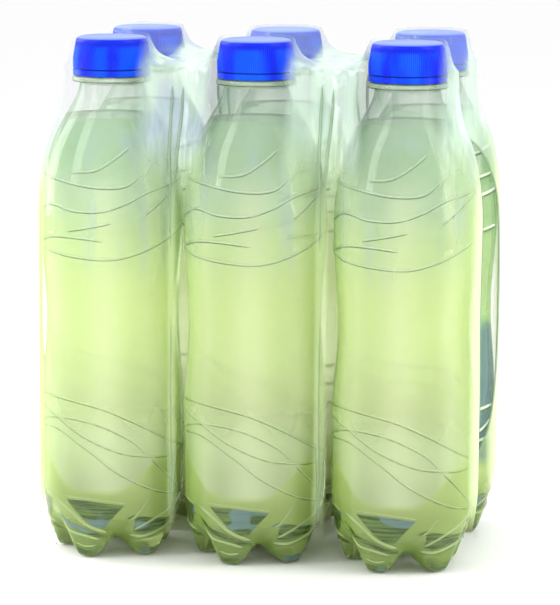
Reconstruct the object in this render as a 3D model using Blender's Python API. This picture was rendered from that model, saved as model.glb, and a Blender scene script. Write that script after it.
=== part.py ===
"""Six small water bottles, two rows of three, held together by a sleeve of clear shrink film.

Metres, +Z up. The origin is the middle of the flat underside, X runs along the rows of three
bottles and the front row is on the -Y side. Each bottle is an open-mouthed wall with a base of five
feet, with its drink and its screw cap as solids of their own. The film is one thin sleeve round
all six, with an oval opening at each short end.
"""
import math

import bmesh
import bpy

MM = 0.001

# Layout of the pack
COLUMN_X = (-57.8 * MM, -0.8 * MM, 57.8 * MM)
ROW_Y = (-28.25 * MM, 28.25 * MM)
FRONT_TURNS = (20.7, 21.0, 17.2)
BACK_TURNS = (38.0, 9.0, 52.0)
FRONT_VIEW_TURN = 90.0 + 36.0

# Bottle, heights from the pads of its feet
BODY_RADIUS = 27.6 * MM
BASE_JOIN_HEIGHT = 30.0 * MM
WAIST_LOW = 58.0 * MM
WAIST_HIGH = 128.0 * MM
WAIST_DIP = 1.8 * MM
WAIST_HEIGHTS = (WAIST_LOW, (WAIST_LOW + WAIST_HIGH) / 2.0)
SHOULDER_STEPS = (0.0, 0.2, 0.38, 0.55, 0.75, 1.0)
INNER_SHOULDER_STEPS = (0.0, 0.38, 0.55, 0.75)
DRINK_SHOULDER_STEPS = (0.0, 0.38)
SHOULDER_HEIGHT = 131.3 * MM
SHOULDER_FULLNESS = 36.7 * MM
NECK_EASE = 11.3 * MM
NECK_HEIGHT = 184.2 * MM
NECK_RADIUS = 12.5 * MM
RING_RADIUS = 15.45 * MM
RING_HIGH = 185.9 * MM
FINISH_RADIUS = 12.7 * MM
MOUTH_HEIGHT = 198.6 * MM
MOUTH_RADIUS = 11.0 * MM
WALL = 0.7 * MM
FACETS_PER_FOOT = 4
FOOT_COUNT = 5
FACETS = FACETS_PER_FOOT * FOOT_COUNT

# Base of five feet with valleys between them
POLE_HEIGHT = 4.0 * MM
PAD_INNER = 18.2 * MM
PAD_OUTER = 21.2 * MM
FOOT_EASE = 0.4 * MM
FOOT_RISE = 11.65 * MM
VALLEY_SPREAD = 14.0 * MM
VALLEY_RISE = 10.0 * MM
INNER_FOOT_STEPS = (0.0, 0.44, 0.77, 1.0)
OUTER_FOOT_STEPS = (0.0, 0.38, 0.66, 1.0)
INNER_VALLEY_STEPS = (0.0, 0.20, 0.34, 0.44)
OUTER_VALLEY_STEPS = (0.52, 0.70, 0.84, 1.0)

# Drink and cap
LEVEL_HEIGHT = 171.0 * MM
DRINK_GAP = 0.3 * MM
CAP_RADIUS = 15.0 * MM
CAP_LOW = 186.3 * MM
CAP_SHOULDER = 194.0 * MM
CAP_TOP = 201.3 * MM
CAP_RIM_RADIUS = 13.9 * MM
CAP_RIM_DROP = 1.7 * MM
CAP_FLAT_RADIUS = 11.4 * MM
CAP_BORE = 13.3 * MM
CAP_ROOF = 1.7 * MM

# Shading: faces that meet at more than this angle keep a crisp edge
BOTTLE_CREASE = 40
CAP_CREASE = 35
FILM_CREASE = 60

# Film sleeve
FILM_THICKNESS = 0.35 * MM
FILM_GAP = 0.35 * MM
BOTTLE_LIFT = FILM_THICKNESS + FILM_GAP
FILM_STANDOFF = 1.6 * MM
FILM_CORNER_RADIUS = 25.0 * MM
TOP_GAP = 0.7 * MM
FILM_TOP = BOTTLE_LIFT + CAP_TOP + TOP_GAP + FILM_THICKNESS
TENT_FOOT_HEIGHT = 166.0 * MM
TENT_TOP_HEIGHT = 185.0 * MM
TENT_TOP_RADIUS = 16.5 * MM
TENT_SLACK = 1.0 * MM
CAP_FILM_RADIUS = 16.5 * MM
CAP_CREST_RADIUS = 15.6 * MM
BODY_SPREAD = 9.0 * MM
SADDLE_SPREAD = 18.2 * MM
CREST_SPREAD = 2.0 * MM
SADDLE_HEIGHT = 191.0 * MM
SPREAD_START = 140.0 * MM
CORE_REACH = 24.6 * MM
CORE_REACH_HIGH = 8.0 * MM
CORE_LOW = 6.0 * MM
CORE_HIGH = 98.0 * MM
ARCH_HEIGHT = 11.0 * MM
ARCH_INNER_REACH = 28.6 * MM
ARCH_OUTER_REACH = 38.0 * MM
OPENING_HALF_HEIGHT = 66.0 * MM
OPENING_HALF_WIDTH = 28.0 * MM
SPINE_HEIGHT = 98.0 * MM
RIDGE_DIP = 9.0 * MM
CREST_EDGE = 10.5 * MM
UNDERSIDE_EDGE = 22.8 * MM
UNDERSIDE_MIDDLE = 15.0 * MM
SIDE_PLACES = ((15.8 * MM, 200.8 * MM), (17.4 * MM, 180.0 * MM), (23.6 * MM, 163.0 * MM),
               (28.6 * MM, 143.0 * MM), (28.9 * MM, 27.0 * MM), (26.0 * MM, 8.5 * MM))
NEAR_OFFSETS = (10.5 * MM, 15.0 * MM, 21.5 * MM)
END_OFFSETS = (10.5 * MM, 15.0 * MM)
CORNER_OFFSET = 22.6 * MM
CORNER_SHARE = 0.3
END_FRACTIONS = (0.18, 0.42, 0.7, 1.0)
SEARCH_REACH = 150.0 * MM
SEARCH_STEP = 2.0 * MM
SEARCH_HALVINGS = 18


def bezier(start, first, second, end, t):
    """Point at t on the cubic curve with these four control points."""
    s = 1.0 - t
    return tuple(s ** 3 * a + 3 * s * s * t * b + 3 * s * t * t * c + t ** 3 * d
                 for a, b, c, d in zip(start, first, second, end))


def smooth(low, high, value):
    """0 below low, 1 above high, and an eased rise between them."""
    t = min(1.0, max(0.0, (value - low) / (high - low)))
    return t * t * (3.0 - 2.0 * t)


def waist_radius(height):
    """Radius of the body with its long shallow waist."""
    t = (height - WAIST_LOW) / (WAIST_HIGH - WAIST_LOW)
    if not 0.0 < t < 1.0:
        return BODY_RADIUS
    return BODY_RADIUS - WAIST_DIP * (1.0 - math.cos(2.0 * math.pi * t)) / 2.0


def shoulder_point(t):
    """Radius and height on the shoulder, from the body at 0 to the neck at 1."""
    return bezier((BODY_RADIUS, SHOULDER_HEIGHT),
                  (BODY_RADIUS, SHOULDER_HEIGHT + SHOULDER_FULLNESS),
                  (NECK_RADIUS, NECK_HEIGHT - NECK_EASE),
                  (NECK_RADIUS, NECK_HEIGHT), t)


def shoulder_radius(height):
    """Radius of the shoulder at a height, found by halving."""
    low, high = 0.0, 1.0
    for _ in range(SEARCH_HALVINGS):
        middle = (low + high) / 2.0
        if shoulder_point(middle)[1] < height:
            low = middle
        else:
            high = middle
    return shoulder_point(low)[0]


def outer_foot(t):
    """Radius and height on the outer side of a foot, from its pad to the body."""
    return bezier((PAD_OUTER, 0.0), (PAD_OUTER + FOOT_EASE, 0.0),
                  (BODY_RADIUS, FOOT_RISE), (BODY_RADIUS, BASE_JOIN_HEIGHT), t)


def inner_foot(t):
    """Radius and height on the underside of a foot, from the middle to its pad."""
    return PAD_INNER * t, POLE_HEIGHT * (1.0 + math.cos(math.pi * t)) / 2.0


def valley(t):
    """Radius and height along a valley between two feet."""
    return bezier((0.0, POLE_HEIGHT), (VALLEY_SPREAD, POLE_HEIGHT),
                  (BODY_RADIUS, VALLEY_RISE), (BODY_RADIUS, BASE_JOIN_HEIGHT), t)


def base_stations():
    """Pairs of foot point and valley point, from the middle out to the body."""
    inner = [(inner_foot(f), valley(v)) for f, v in zip(INNER_FOOT_STEPS, INNER_VALLEY_STEPS)]
    outer = [(outer_foot(f), valley(v)) for f, v in zip(OUTER_FOOT_STEPS, OUTER_VALLEY_STEPS)]
    return inner + outer


def inner_base():
    """The base stations that a wall's inside and the drink keep, in the same order."""
    stations = base_stations()
    return [stations[0], stations[4], stations[6], stations[7]]


def round_station(radius, height):
    """A station whose ring is the same at feet and valleys."""
    return (radius, height), (radius, height)


def grow_in(station, inset):
    """The station moved inwards by a wall thickness, and up off the base."""
    (foot_r, foot_z), (valley_r, valley_z) = station
    lift = inset if foot_z < BASE_JOIN_HEIGHT else 0.0
    return ((max(foot_r - inset, 0.0), foot_z + lift), (max(valley_r - inset, 0.0), valley_z + lift))


def ring_of(station, turn):
    """Points of one ring, or a single point where the station is on the axis."""
    (foot_r, foot_z), (valley_r, valley_z) = station
    if foot_r == 0.0:
        return [(0.0, 0.0, foot_z)]
    points = []
    for step in range(FACETS):
        on_foot = step % FACETS_PER_FOOT in (0, FACETS_PER_FOOT - 1)
        radius, height = (foot_r, foot_z) if on_foot else (valley_r, valley_z)
        angle = turn + 2.0 * math.pi * (step + 0.5) / FACETS
        points.append((radius * math.cos(angle), radius * math.sin(angle), height))
    return points


def skin(bm, rings):
    """Join each ring to the next with faces; a ring of one point closes as a fan."""
    loops = [[bm.verts.new(point) for point in ring] for ring in rings]
    for lower, upper in zip(loops, loops[1:]):
        count = max(len(lower), len(upper))
        for i in range(count):
            j = (i + 1) % count
            if len(lower) == 1:
                bm.faces.new((lower[0], upper[i], upper[j]))
            elif len(upper) == 1:
                bm.faces.new((lower[i], upper[0], lower[j]))
            else:
                bm.faces.new((lower[i], upper[i], upper[j], lower[j]))


def finish_object(name, bm, location, material, sharp_degrees):
    """Turn the bmesh into a named, smooth-shaded object with its material."""
    bmesh.ops.recalc_face_normals(bm, faces=bm.faces)
    mesh = bpy.data.meshes.new(name)
    bm.to_mesh(mesh)
    bm.free()
    mesh.shade_smooth()
    mesh.set_sharp_from_angle(angle=math.radians(sharp_degrees))
    mesh.materials.append(material)
    piece = bpy.data.objects.new(name, mesh)
    piece.location = location
    bpy.context.collection.objects.link(piece)
    return piece


def plastic(name, colour, roughness, transmission, alpha):
    """A plain plastic or liquid material; nothing here is metal."""
    material = bpy.data.materials.new(name)
    material.use_nodes = True
    shader = material.node_tree.nodes["Principled BSDF"]
    shader.inputs["Base Color"].default_value = (*colour, 1.0)
    shader.inputs["Roughness"].default_value = roughness
    shader.inputs["Metallic"].default_value = 0.0
    shader.inputs["Transmission Weight"].default_value = transmission
    shader.inputs["Alpha"].default_value = alpha
    return material


def body_stations(shoulder_steps):
    """Stations of the round wall: through the waist, then up the shoulder."""
    stations = [round_station(waist_radius(height), height) for height in WAIST_HEIGHTS]
    stations += [round_station(*shoulder_point(t)) for t in shoulder_steps]
    return stations


def make_bottle(name, location, turn, material):
    """The bottle's wall, open at the mouth, with base, waist, shoulder, ring and neck."""
    outside = base_stations() + body_stations(SHOULDER_STEPS)
    outside += [round_station(RING_RADIUS, NECK_HEIGHT), round_station(RING_RADIUS, RING_HIGH),
                round_station(FINISH_RADIUS, RING_HIGH), round_station(FINISH_RADIUS, MOUTH_HEIGHT)]
    inside = inner_base() + body_stations(INNER_SHOULDER_STEPS)
    inside = [grow_in(station, WALL) for station in inside]
    mouth = [round_station(MOUTH_RADIUS, MOUTH_HEIGHT), round_station(MOUTH_RADIUS, NECK_HEIGHT)]
    bm = bmesh.new()
    skin(bm, [ring_of(s, turn) for s in outside + mouth + inside[::-1]])
    return finish_object(name, bm, location, material, BOTTLE_CREASE)


def make_drink(name, location, turn, material):
    """The water in one bottle, up to its level."""
    stations = inner_base() + body_stations(DRINK_SHOULDER_STEPS)
    stations.append(round_station(shoulder_radius(LEVEL_HEIGHT), LEVEL_HEIGHT))
    rings = [[(0.0, 0.0, LEVEL_HEIGHT)]]
    rings += [ring_of(grow_in(s, WALL + DRINK_GAP), turn) for s in stations[::-1]]
    bm = bmesh.new()
    skin(bm, rings)
    return finish_object(name, bm, location, material, BOTTLE_CREASE)


def make_cap(name, location, turn, material):
    """A screw cap: a tapered shell with a rounded top edge, hollow underneath."""
    profile = [(0.0, CAP_TOP), (CAP_FLAT_RADIUS, CAP_TOP), (CAP_RIM_RADIUS, CAP_TOP - CAP_RIM_DROP),
               (CAP_RADIUS, CAP_SHOULDER), (CAP_RADIUS, CAP_LOW), (CAP_BORE, CAP_LOW),
               (CAP_BORE, CAP_TOP - CAP_ROOF), (0.0, CAP_TOP - CAP_ROOF)]
    bm = bmesh.new()
    skin(bm, [ring_of(round_station(radius, height), turn) for radius, height in profile])
    return finish_object(name, bm, location, material, CAP_CREASE)


def film_radius(height):
    """How far from a bottle's axis the film lies at a height, over waist and neck alike."""
    local = height - BOTTLE_LIFT
    if local <= 0.0:
        return FILM_CORNER_RADIUS
    if local < BASE_JOIN_HEIGHT:
        low, high = 0.0, 1.0
        for _ in range(SEARCH_HALVINGS):
            middle = (low + high) / 2.0
            if outer_foot(middle)[1] < local:
                low = middle
            else:
                high = middle
        return max(outer_foot(low)[0] + FILM_STANDOFF, FILM_CORNER_RADIUS)
    if local < SHOULDER_HEIGHT:
        return BODY_RADIUS + FILM_STANDOFF
    if local < TENT_FOOT_HEIGHT:
        return shoulder_radius(local) + FILM_STANDOFF
    if local < TENT_TOP_HEIGHT:
        t = (local - TENT_FOOT_HEIGHT) / (TENT_TOP_HEIGHT - TENT_FOOT_HEIGHT)
        start = shoulder_radius(TENT_FOOT_HEIGHT) + FILM_STANDOFF
        straight = start + (TENT_TOP_RADIUS - start) * t
        return straight - TENT_SLACK * math.sin(math.pi * t)
    t = smooth(CAP_SHOULDER, CAP_TOP + TOP_GAP, local)
    return CAP_FILM_RADIUS - (CAP_FILM_RADIUS - CAP_CREST_RADIUS) * t ** 4


def film_spread(height):
    """How widely the film bridges from one bottle to the next at a height."""
    if height < SADDLE_HEIGHT:
        rise = smooth(SPREAD_START, SADDLE_HEIGHT, height)
        return BODY_SPREAD + (SADDLE_SPREAD - BODY_SPREAD) * rise
    t = min(1.0, (height - SADDLE_HEIGHT) / (FILM_TOP - SADDLE_HEIGHT))
    return SADDLE_SPREAD + (CREST_SPREAD - SADDLE_SPREAD) * t


def film_floor(x, y):
    """Height of the film's underside: flat, with an arch between columns at front and back."""
    if not COLUMN_X[0] < x < COLUMN_X[2]:
        return 0.0
    over_x = min(abs(x - axis) for axis in COLUMN_X)
    over_y = max(abs(y) - ROW_Y[1], 0.0)
    return ARCH_HEIGHT * smooth(ARCH_INNER_REACH, ARCH_OUTER_REACH, math.hypot(over_x, over_y))


def core_field(x, y, z):
    """How far inside the block between the bottles a point lies, widest at the flat underside."""
    if z > SPINE_HEIGHT:
        return -SEARCH_REACH
    over_x = max(COLUMN_X[0] - x, x - COLUMN_X[2], 0.0)
    over_y = max(abs(y) - ROW_Y[1], 0.0)
    reach = CORE_REACH + (CORE_REACH_HIGH - CORE_REACH) * smooth(CORE_LOW, CORE_HIGH, z)
    return reach - math.hypot(over_x, over_y)


def film_field(x, y, z):
    """Positive inside the film's outer surface and negative outside it."""
    reach = film_radius(z)
    spread = film_spread(z)
    total = 0.0
    for axis_x in COLUMN_X:
        for axis_y in ROW_Y:
            total += math.exp((reach - math.hypot(x - axis_x, y - axis_y)) / spread)
    side = max(spread * math.log(total), core_field(x, y, z))
    return min(side, FILM_TOP - z, z - film_floor(x, y))


def film_point(centre, direction, depth=0.0):
    """Where a ray from a point of the spine passes a depth under the film's outer surface."""
    def at(distance):
        return tuple(c + d * distance for c, d in zip(centre, direction))

    distance = SEARCH_REACH
    while film_field(*at(distance)) < depth:
        distance -= SEARCH_STEP
    low, high = distance, distance + SEARCH_STEP
    for _ in range(SEARCH_HALVINGS):
        middle = (low + high) / 2.0
        if film_field(*at(middle)) < depth:
            high = middle
        else:
            low = middle
    return at(low)


def section_angles():
    """Angles round the spine of the film's lengthwise edges, from places on a section."""
    row = ROW_Y[1]
    places = [(0.0, FILM_TOP - RIDGE_DIP), (row, FILM_TOP)]
    places += [(row - CREST_EDGE, FILM_TOP), (row + CREST_EDGE, FILM_TOP)]
    places += [(row + offset, height) for offset, height in SIDE_PLACES]
    places += [(row + UNDERSIDE_EDGE, 0.0), (row + UNDERSIDE_MIDDLE, 0.0), (row, 0.0)]
    front = sorted((math.atan2(z - SPINE_HEIGHT, y) for y, z in places), reverse=True)
    back = [math.pi - angle for angle in front[1:]]
    bottom = -math.pi / 2.0
    return front + [bottom] + back[::-1]


def opening_radius(angle):
    """Distance from the opening's centre to its edge in a direction."""
    across = math.cos(angle) / OPENING_HALF_WIDTH
    upward = math.sin(angle) / OPENING_HALF_HEIGHT
    return 1.0 / math.hypot(across, upward)


def end_points(side, angle):
    """Pairs of outer and inner point from the last bottles' axes to the opening's edge."""
    axis_x = COLUMN_X[2 if side > 0 else 0]

    def point_at(swing, depth=0.0):
        direction = (side * math.sin(swing), math.cos(swing) * math.cos(angle),
                     math.cos(swing) * math.sin(angle))
        return film_point((axis_x, 0.0, SPINE_HEIGHT), direction, depth)

    def swing_where(reached):
        low, high = 0.0, math.pi / 2.0
        for _ in range(SEARCH_HALVINGS):
            middle = (low + high) / 2.0
            if reached(point_at(middle)):
                high = middle
            else:
                low = middle
        return low

    edge = opening_radius(angle)
    swings = [swing_where(lambda p, o=offset: abs(p[0] - axis_x) > o) for offset in END_OFFSETS]
    last = swing_where(lambda p: math.hypot(p[1], p[2] - SPINE_HEIGHT) < edge)
    flat = point_at(swings[-1])[2] < FILM_THICKNESS
    corner = swing_where(lambda p: abs(p[0] - axis_x) > CORNER_OFFSET
                         or (flat and p[2] > FILM_THICKNESS))
    swings.append(min(corner, swings[-1] + (last - swings[-1]) * CORNER_SHARE))
    swings += [swings[-1] + (last - swings[-1]) * fraction for fraction in END_FRACTIONS]
    return [(point_at(swing), point_at(swing, FILM_THICKNESS)) for swing in swings]


def film_grid():
    """Rows of outer and inner points along the film, one row for each angle round the spine."""
    stations = [COLUMN_X[0]]
    for before, after in zip(COLUMN_X, COLUMN_X[1:]):
        stations += [before + offset for offset in NEAR_OFFSETS]
        stations.append((before + after) / 2.0)
        stations += [after - offset for offset in NEAR_OFFSETS[::-1]]
        stations.append(after)
    grid = []
    for angle in section_angles():
        direction = (0.0, math.cos(angle), math.sin(angle))
        left = end_points(-1, angle)[::-1]
        right = end_points(1, angle)
        centres = [(x, 0.0, SPINE_HEIGHT) for x in stations]
        middle = [(film_point(centre, direction), film_point(centre, direction, FILM_THICKNESS))
                  for centre in centres]
        grid.append(left + middle + right)
    return grid


def spine_distance(first, second):
    """Distance from the spine to the middle between two vertices."""
    middle = (first.co + second.co) / 2.0
    return math.hypot(middle.y, middle.z - SPINE_HEIGHT)


def add_panel(bm, first, second, third, fourth):
    """Two faces over four corners, split along the diagonal that bulges outwards."""
    if spine_distance(first, third) > spine_distance(second, fourth):
        bm.faces.new((first, second, third))
        bm.faces.new((first, third, fourth))
    else:
        bm.faces.new((first, second, fourth))
        bm.faces.new((second, third, fourth))


def make_film(name, material):
    """The shrink film: a closed thin sleeve with an opening at each short end."""
    bm = bmesh.new()
    rows = [[[bm.verts.new(point) for point in pair] for pair in row] for row in film_grid()]
    for row, following in zip(rows, rows[1:] + rows[:1]):
        for skin_side in (0, 1):
            for i in range(len(row) - 1):
                add_panel(bm, row[i][skin_side], row[i + 1][skin_side],
                          following[i + 1][skin_side], following[i][skin_side])
        for end in (0, -1):
            bm.faces.new((row[end][0], row[end][1], following[end][1], following[end][0]))
    return finish_object(name, bm, (0.0, 0.0, 0.0), material, FILM_CREASE)


def clear_scene():
    """Remove whatever the file holds, so that only the pack is left."""
    for item in list(bpy.data.objects):
        bpy.data.objects.remove(item, do_unlink=True)


def build():
    """Make every piece of the pack in its place."""
    clear_scene()
    clear_plastic = plastic("clear_bottle", (0.70, 0.86, 0.58), 0.06, 0.9, 0.45)
    water = plastic("water", (0.76, 0.88, 0.52), 0.02, 0.9, 0.85)
    cap_plastic = plastic("blue_cap", (0.01, 0.06, 0.85), 0.3, 0.0, 1.0)
    film = plastic("clear_film", (0.88, 0.94, 0.88), 0.15, 0.9, 0.22)
    number = 0
    for row_y, turns in zip(ROW_Y, (FRONT_TURNS, BACK_TURNS)):
        for column_x, turn_degrees in zip(COLUMN_X, turns):
            number += 1
            place = (column_x, row_y, BOTTLE_LIFT)
            foot_turn = math.radians(turn_degrees - FRONT_VIEW_TURN)
            make_bottle(f"bottle_{number}", place, foot_turn, clear_plastic)
            make_drink(f"water_{number}", place, foot_turn, water)
            make_cap(f"cap_{number}", place, foot_turn, cap_plastic)
    make_film("film", film)


build()
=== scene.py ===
"""Six small water bottles in a sleeve of clear shrink film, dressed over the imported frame.

Every length is in metres, in the frame's own axes: X along the rows of three, -Y towards the front
row and +Z up. Each class builds one kind of piece from its sizes, and main() builds them in order.
"""
import logging
import math
from dataclasses import dataclass
from typing import Any, Iterable, Sequence

import bpy
import numpy as np
from mathutils import Matrix, Vector


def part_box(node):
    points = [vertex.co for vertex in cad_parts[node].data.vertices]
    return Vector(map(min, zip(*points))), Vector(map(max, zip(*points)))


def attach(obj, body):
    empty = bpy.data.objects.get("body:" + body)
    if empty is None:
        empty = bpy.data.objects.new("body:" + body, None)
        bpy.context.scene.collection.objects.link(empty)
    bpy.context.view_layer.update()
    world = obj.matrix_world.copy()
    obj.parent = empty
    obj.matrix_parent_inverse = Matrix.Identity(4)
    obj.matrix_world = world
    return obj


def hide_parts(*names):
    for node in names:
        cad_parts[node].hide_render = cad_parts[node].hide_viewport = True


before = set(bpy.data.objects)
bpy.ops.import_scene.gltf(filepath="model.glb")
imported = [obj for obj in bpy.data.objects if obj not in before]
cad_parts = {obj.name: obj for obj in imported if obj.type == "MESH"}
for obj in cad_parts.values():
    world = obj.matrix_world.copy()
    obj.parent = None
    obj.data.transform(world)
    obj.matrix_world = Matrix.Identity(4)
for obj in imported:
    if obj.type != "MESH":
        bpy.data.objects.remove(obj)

log = logging.getLogger("water_pack")

MM = 0.001
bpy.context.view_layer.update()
IMAGE_WIDTH = 560
IMAGE_HEIGHT = 605
PHOTO_AZIMUTH = math.radians(11.98)
AIM_HEIGHT = 100.65 * MM
BOTTLE_COUNT = 6
COLUMN_COUNT = 3
LIQUID_TOP = 172.0 * MM


def linear(red: float, green: float, blue: float) -> tuple[float, float, float, float]:
    """A display colour as Blender's linear values.

    Args:
        red, green, blue: display values from 0 to 255.

    Returns:
        Linear red, green, blue and an alpha of 1.
    """
    def decode(value: float) -> float:
        """One display value as a linear one."""
        value /= 255.0
        return value / 12.92 if value <= 0.04045 else ((value + 0.055) / 1.055) ** 2.4

    return decode(red), decode(green), decode(blue), 1.0


def smooth(low: float, high: float, value: Any) -> Any:
    """An eased rise from 0 at low to 1 at high, for numbers and arrays."""
    t = np.clip((np.asarray(value) - low) / (high - low), 0.0, 1.0)
    return t * t * (3.0 - 2.0 * t)


def bezier(points: Sequence[tuple[float, float]], t: np.ndarray) -> np.ndarray:
    """Points at t on the cubic curve with these four control points."""
    t = np.asarray(t)[..., None]
    a, b, c, d = (np.array(point) for point in points)
    s = 1.0 - t
    return s ** 3 * a + 3.0 * s * s * t * b + 3.0 * s * t * t * c + t ** 3 * d


class Wire:
    """One output socket of a shader, with arithmetic that adds Math nodes."""

    def __init__(self, graph: "Graph", socket: bpy.types.NodeSocket) -> None:
        """Keep the socket and the graph that it belongs to."""
        self.graph = graph
        self.socket = socket

    def maths(self, operation: str, *others: Any, clamp: bool = False) -> "Wire":
        """The result of a Math node whose first input is this wire."""
        made = self.graph.node("ShaderNodeMath", {"operation": operation, "use_clamp": clamp},
                               dict(enumerate((self, *others))))
        return Wire(self.graph, made.outputs[0])

    def __add__(self, other: Any) -> "Wire":
        """This wire plus another value."""
        return self.maths("ADD", other)

    def __radd__(self, other: Any) -> "Wire":
        """A number plus this wire."""
        return self.maths("ADD", other)

    def __sub__(self, other: Any) -> "Wire":
        """This wire less another value."""
        return self.maths("SUBTRACT", other)

    def __rsub__(self, other: Any) -> "Wire":
        """A number less this wire."""
        return self.maths("MULTIPLY", -1.0).maths("ADD", other)

    def __mul__(self, other: Any) -> "Wire":
        """This wire times another value."""
        return self.maths("MULTIPLY", other)

    def __rmul__(self, other: Any) -> "Wire":
        """A number times this wire."""
        return self.maths("MULTIPLY", other)

    def __truediv__(self, other: Any) -> "Wire":
        """This wire divided by another value."""
        return self.maths("DIVIDE", other)

    def clamped(self) -> "Wire":
        """The value held between 0 and 1."""
        return self.maths("ADD", 0.0, clamp=True)

    def ranged(self, low: float, high: float, start: float = 0.0, end: float = 1.0) -> "Wire":
        """The value eased from start at low to end at high."""
        made = self.graph.node("ShaderNodeMapRange", {"interpolation_type": "SMOOTHSTEP"},
                               {"Value": self, "From Min": low, "From Max": high,
                                "To Min": start, "To Max": end})
        return Wire(self.graph, made.outputs["Result"])


class Graph:
    """The nodes of a material or of the surround, while they are being wired."""

    def __init__(self, tree: bpy.types.NodeTree) -> None:
        """Keep the node tree."""
        self.tree = tree

    def node(self, kind: str, settings: dict[str, Any] | None = None,
             values: dict[Any, Any] | None = None) -> bpy.types.Node:
        """Add a node.

        Args:
            kind: the node's type name.
            settings: attributes to set on the node.
            values: input name or index to a constant or a Wire.

        Returns:
            The new node.
        """
        made = self.tree.nodes.new(kind)
        for name, value in (settings or {}).items():
            setattr(made, name, value)
        for key, value in (values or {}).items():
            self.feed(made.inputs[key], value)
        return made

    def feed(self, socket: bpy.types.NodeSocket, value: Any) -> None:
        """Set a socket to a constant or link a wire to it."""
        if isinstance(value, Wire):
            self.tree.links.new(value.socket, socket)
        else:
            socket.default_value = value


class Surface(Graph):
    """A material while it is being wired."""

    def __init__(self, name: str) -> None:
        """Make the material and find its main shader."""
        self.material = bpy.data.materials.new(name)
        self.material.use_nodes = True
        super().__init__(self.material.node_tree)
        self.shader = self.tree.nodes["Principled BSDF"]

    def set(self, **inputs: Any) -> None:
        """Set inputs of the main shader; an underscore stands for a space."""
        for name, value in inputs.items():
            self.feed(self.shader.inputs[name.replace("_", " ")], value)

    def place(self) -> tuple[Wire, Wire, Wire]:
        """The point's X, Y and Z in the frame."""
        point = self.node("ShaderNodeTexCoord").outputs["Object"]
        parts = self.node("ShaderNodeSeparateXYZ", None, {0: Wire(self, point)})
        return tuple(Wire(self, output) for output in parts.outputs)

    def noise(self, scale: Sequence[float], detail: float = 2.0) -> Wire:
        """A noise value with a scale for each axis."""
        point = self.node("ShaderNodeTexCoord").outputs["Object"]
        stretched = self.node("ShaderNodeVectorMath", {"operation": "MULTIPLY"},
                              {0: Wire(self, point), 1: tuple(scale)})
        made = self.node("ShaderNodeTexNoise", None, {"Vector": Wire(self, stretched.outputs[0]),
                                                      "Scale": 1.0, "Detail": detail})
        return Wire(self, made.outputs["Fac"])

    def ramp(self, factor: Wire, stops: Iterable[tuple[float, Sequence[float]]]) -> Wire:
        """Colours along a factor, eased between the stops."""
        made = self.node("ShaderNodeValToRGB", None, {"Fac": factor})
        elements = made.color_ramp.elements
        made.color_ramp.interpolation = "EASE"
        for index, (position, colour) in enumerate(stops):
            element = elements[index] if index < 2 else elements.new(position)
            element.position = position
            element.color = colour
        return Wire(self, made.outputs["Color"])

    def mix(self, factor: Any, first: Any, second: Any) -> Wire:
        """Two colours mixed by a factor."""
        made = self.node("ShaderNodeMix", {"data_type": "RGBA"},
                         {0: factor, 6: first, 7: second})
        return Wire(self, made.outputs[2])

    def multiply(self, first: Any, second: Any) -> Wire:
        """Two colours multiplied together."""
        made = self.node("ShaderNodeMix", {"data_type": "RGBA", "blend_type": "MULTIPLY"},
                         {0: 1.0, 6: first, 7: second})
        return Wire(self, made.outputs[2])

    def nearest(self, value: Wire, places: Sequence[float]) -> Wire:
        """Distance from a value to the nearest of some places."""
        found = None
        for place in places:
            away = (value - place).maths("ABSOLUTE")
            found = away if found is None else found.maths("MINIMUM", away)
        return found

    def offset(self, value: Wire, places: Sequence[float]) -> Wire:
        """Signed distance from a value to the nearest of some evenly spaced places."""
        pitch = places[1] - places[0]
        share = (value - places[0]) / pitch
        index = share.maths("ROUND").maths("MAXIMUM", 0.0).maths("MINIMUM", len(places) - 1.0)
        return value - (index * pitch + places[0])

    def band(self, value: Wire, centre: float, half: float) -> Wire:
        """1 at a centre, easing to 0 at a distance of half on both sides."""
        return (value - centre).maths("ABSOLUTE").ranged(0.0, half, 1.0, 0.0)

    def bump(self, height: Wire, distance: float, strength: float = 1.0) -> Wire:
        """A bumped normal from a height."""
        made = self.node("ShaderNodeBump", None, {"Height": height, "Distance": distance,
                                                  "Strength": strength})
        return Wire(self, made.outputs["Normal"])

    def facing(self, blend: float) -> Wire:
        """How far the surface turns away from the eye."""
        made = self.node("ShaderNodeLayerWeight", None, {"Blend": blend})
        return Wire(self, made.outputs["Facing"])


@dataclass(frozen=True)
class Layout:
    """Where the bottles' axes stand, for finishes that follow them."""

    columns: tuple[float, ...]
    row: float

    def turn(self, surface: Surface) -> Wire:
        """Degrees round the nearest bottle from its outward side, towards positive X."""
        across, along, _ = surface.place()
        outward = along.maths("ABSOLUTE") - self.row
        side = surface.offset(across, self.columns)
        return side.maths("ARCTAN2", outward) * math.degrees(1.0)


@dataclass(frozen=True)
class PaintedGlow:
    """A round-ended painted glow over each bottle's feet, and the deeper painted shade under it."""

    columns: tuple[float, ...]
    low: float = 28.5 * MM
    rise: float = 16.0 * MM
    reach: tuple[float, float] = (3.0 * MM, 27.0 * MM)
    soft: float = 2.6 * MM

    def painted_shade_zone(self, surface: Surface, across: Wire, height: Wire) -> Wire:
        """1 under the edge of the painted glow, where the painted shade lies, and 0 over it."""
        away = surface.nearest(across, self.columns)
        share = away.ranged(*self.reach)
        edge = share * share * self.rise + self.low
        return ((edge - height) / self.soft).ranged(-1.0, 1.0)


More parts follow.
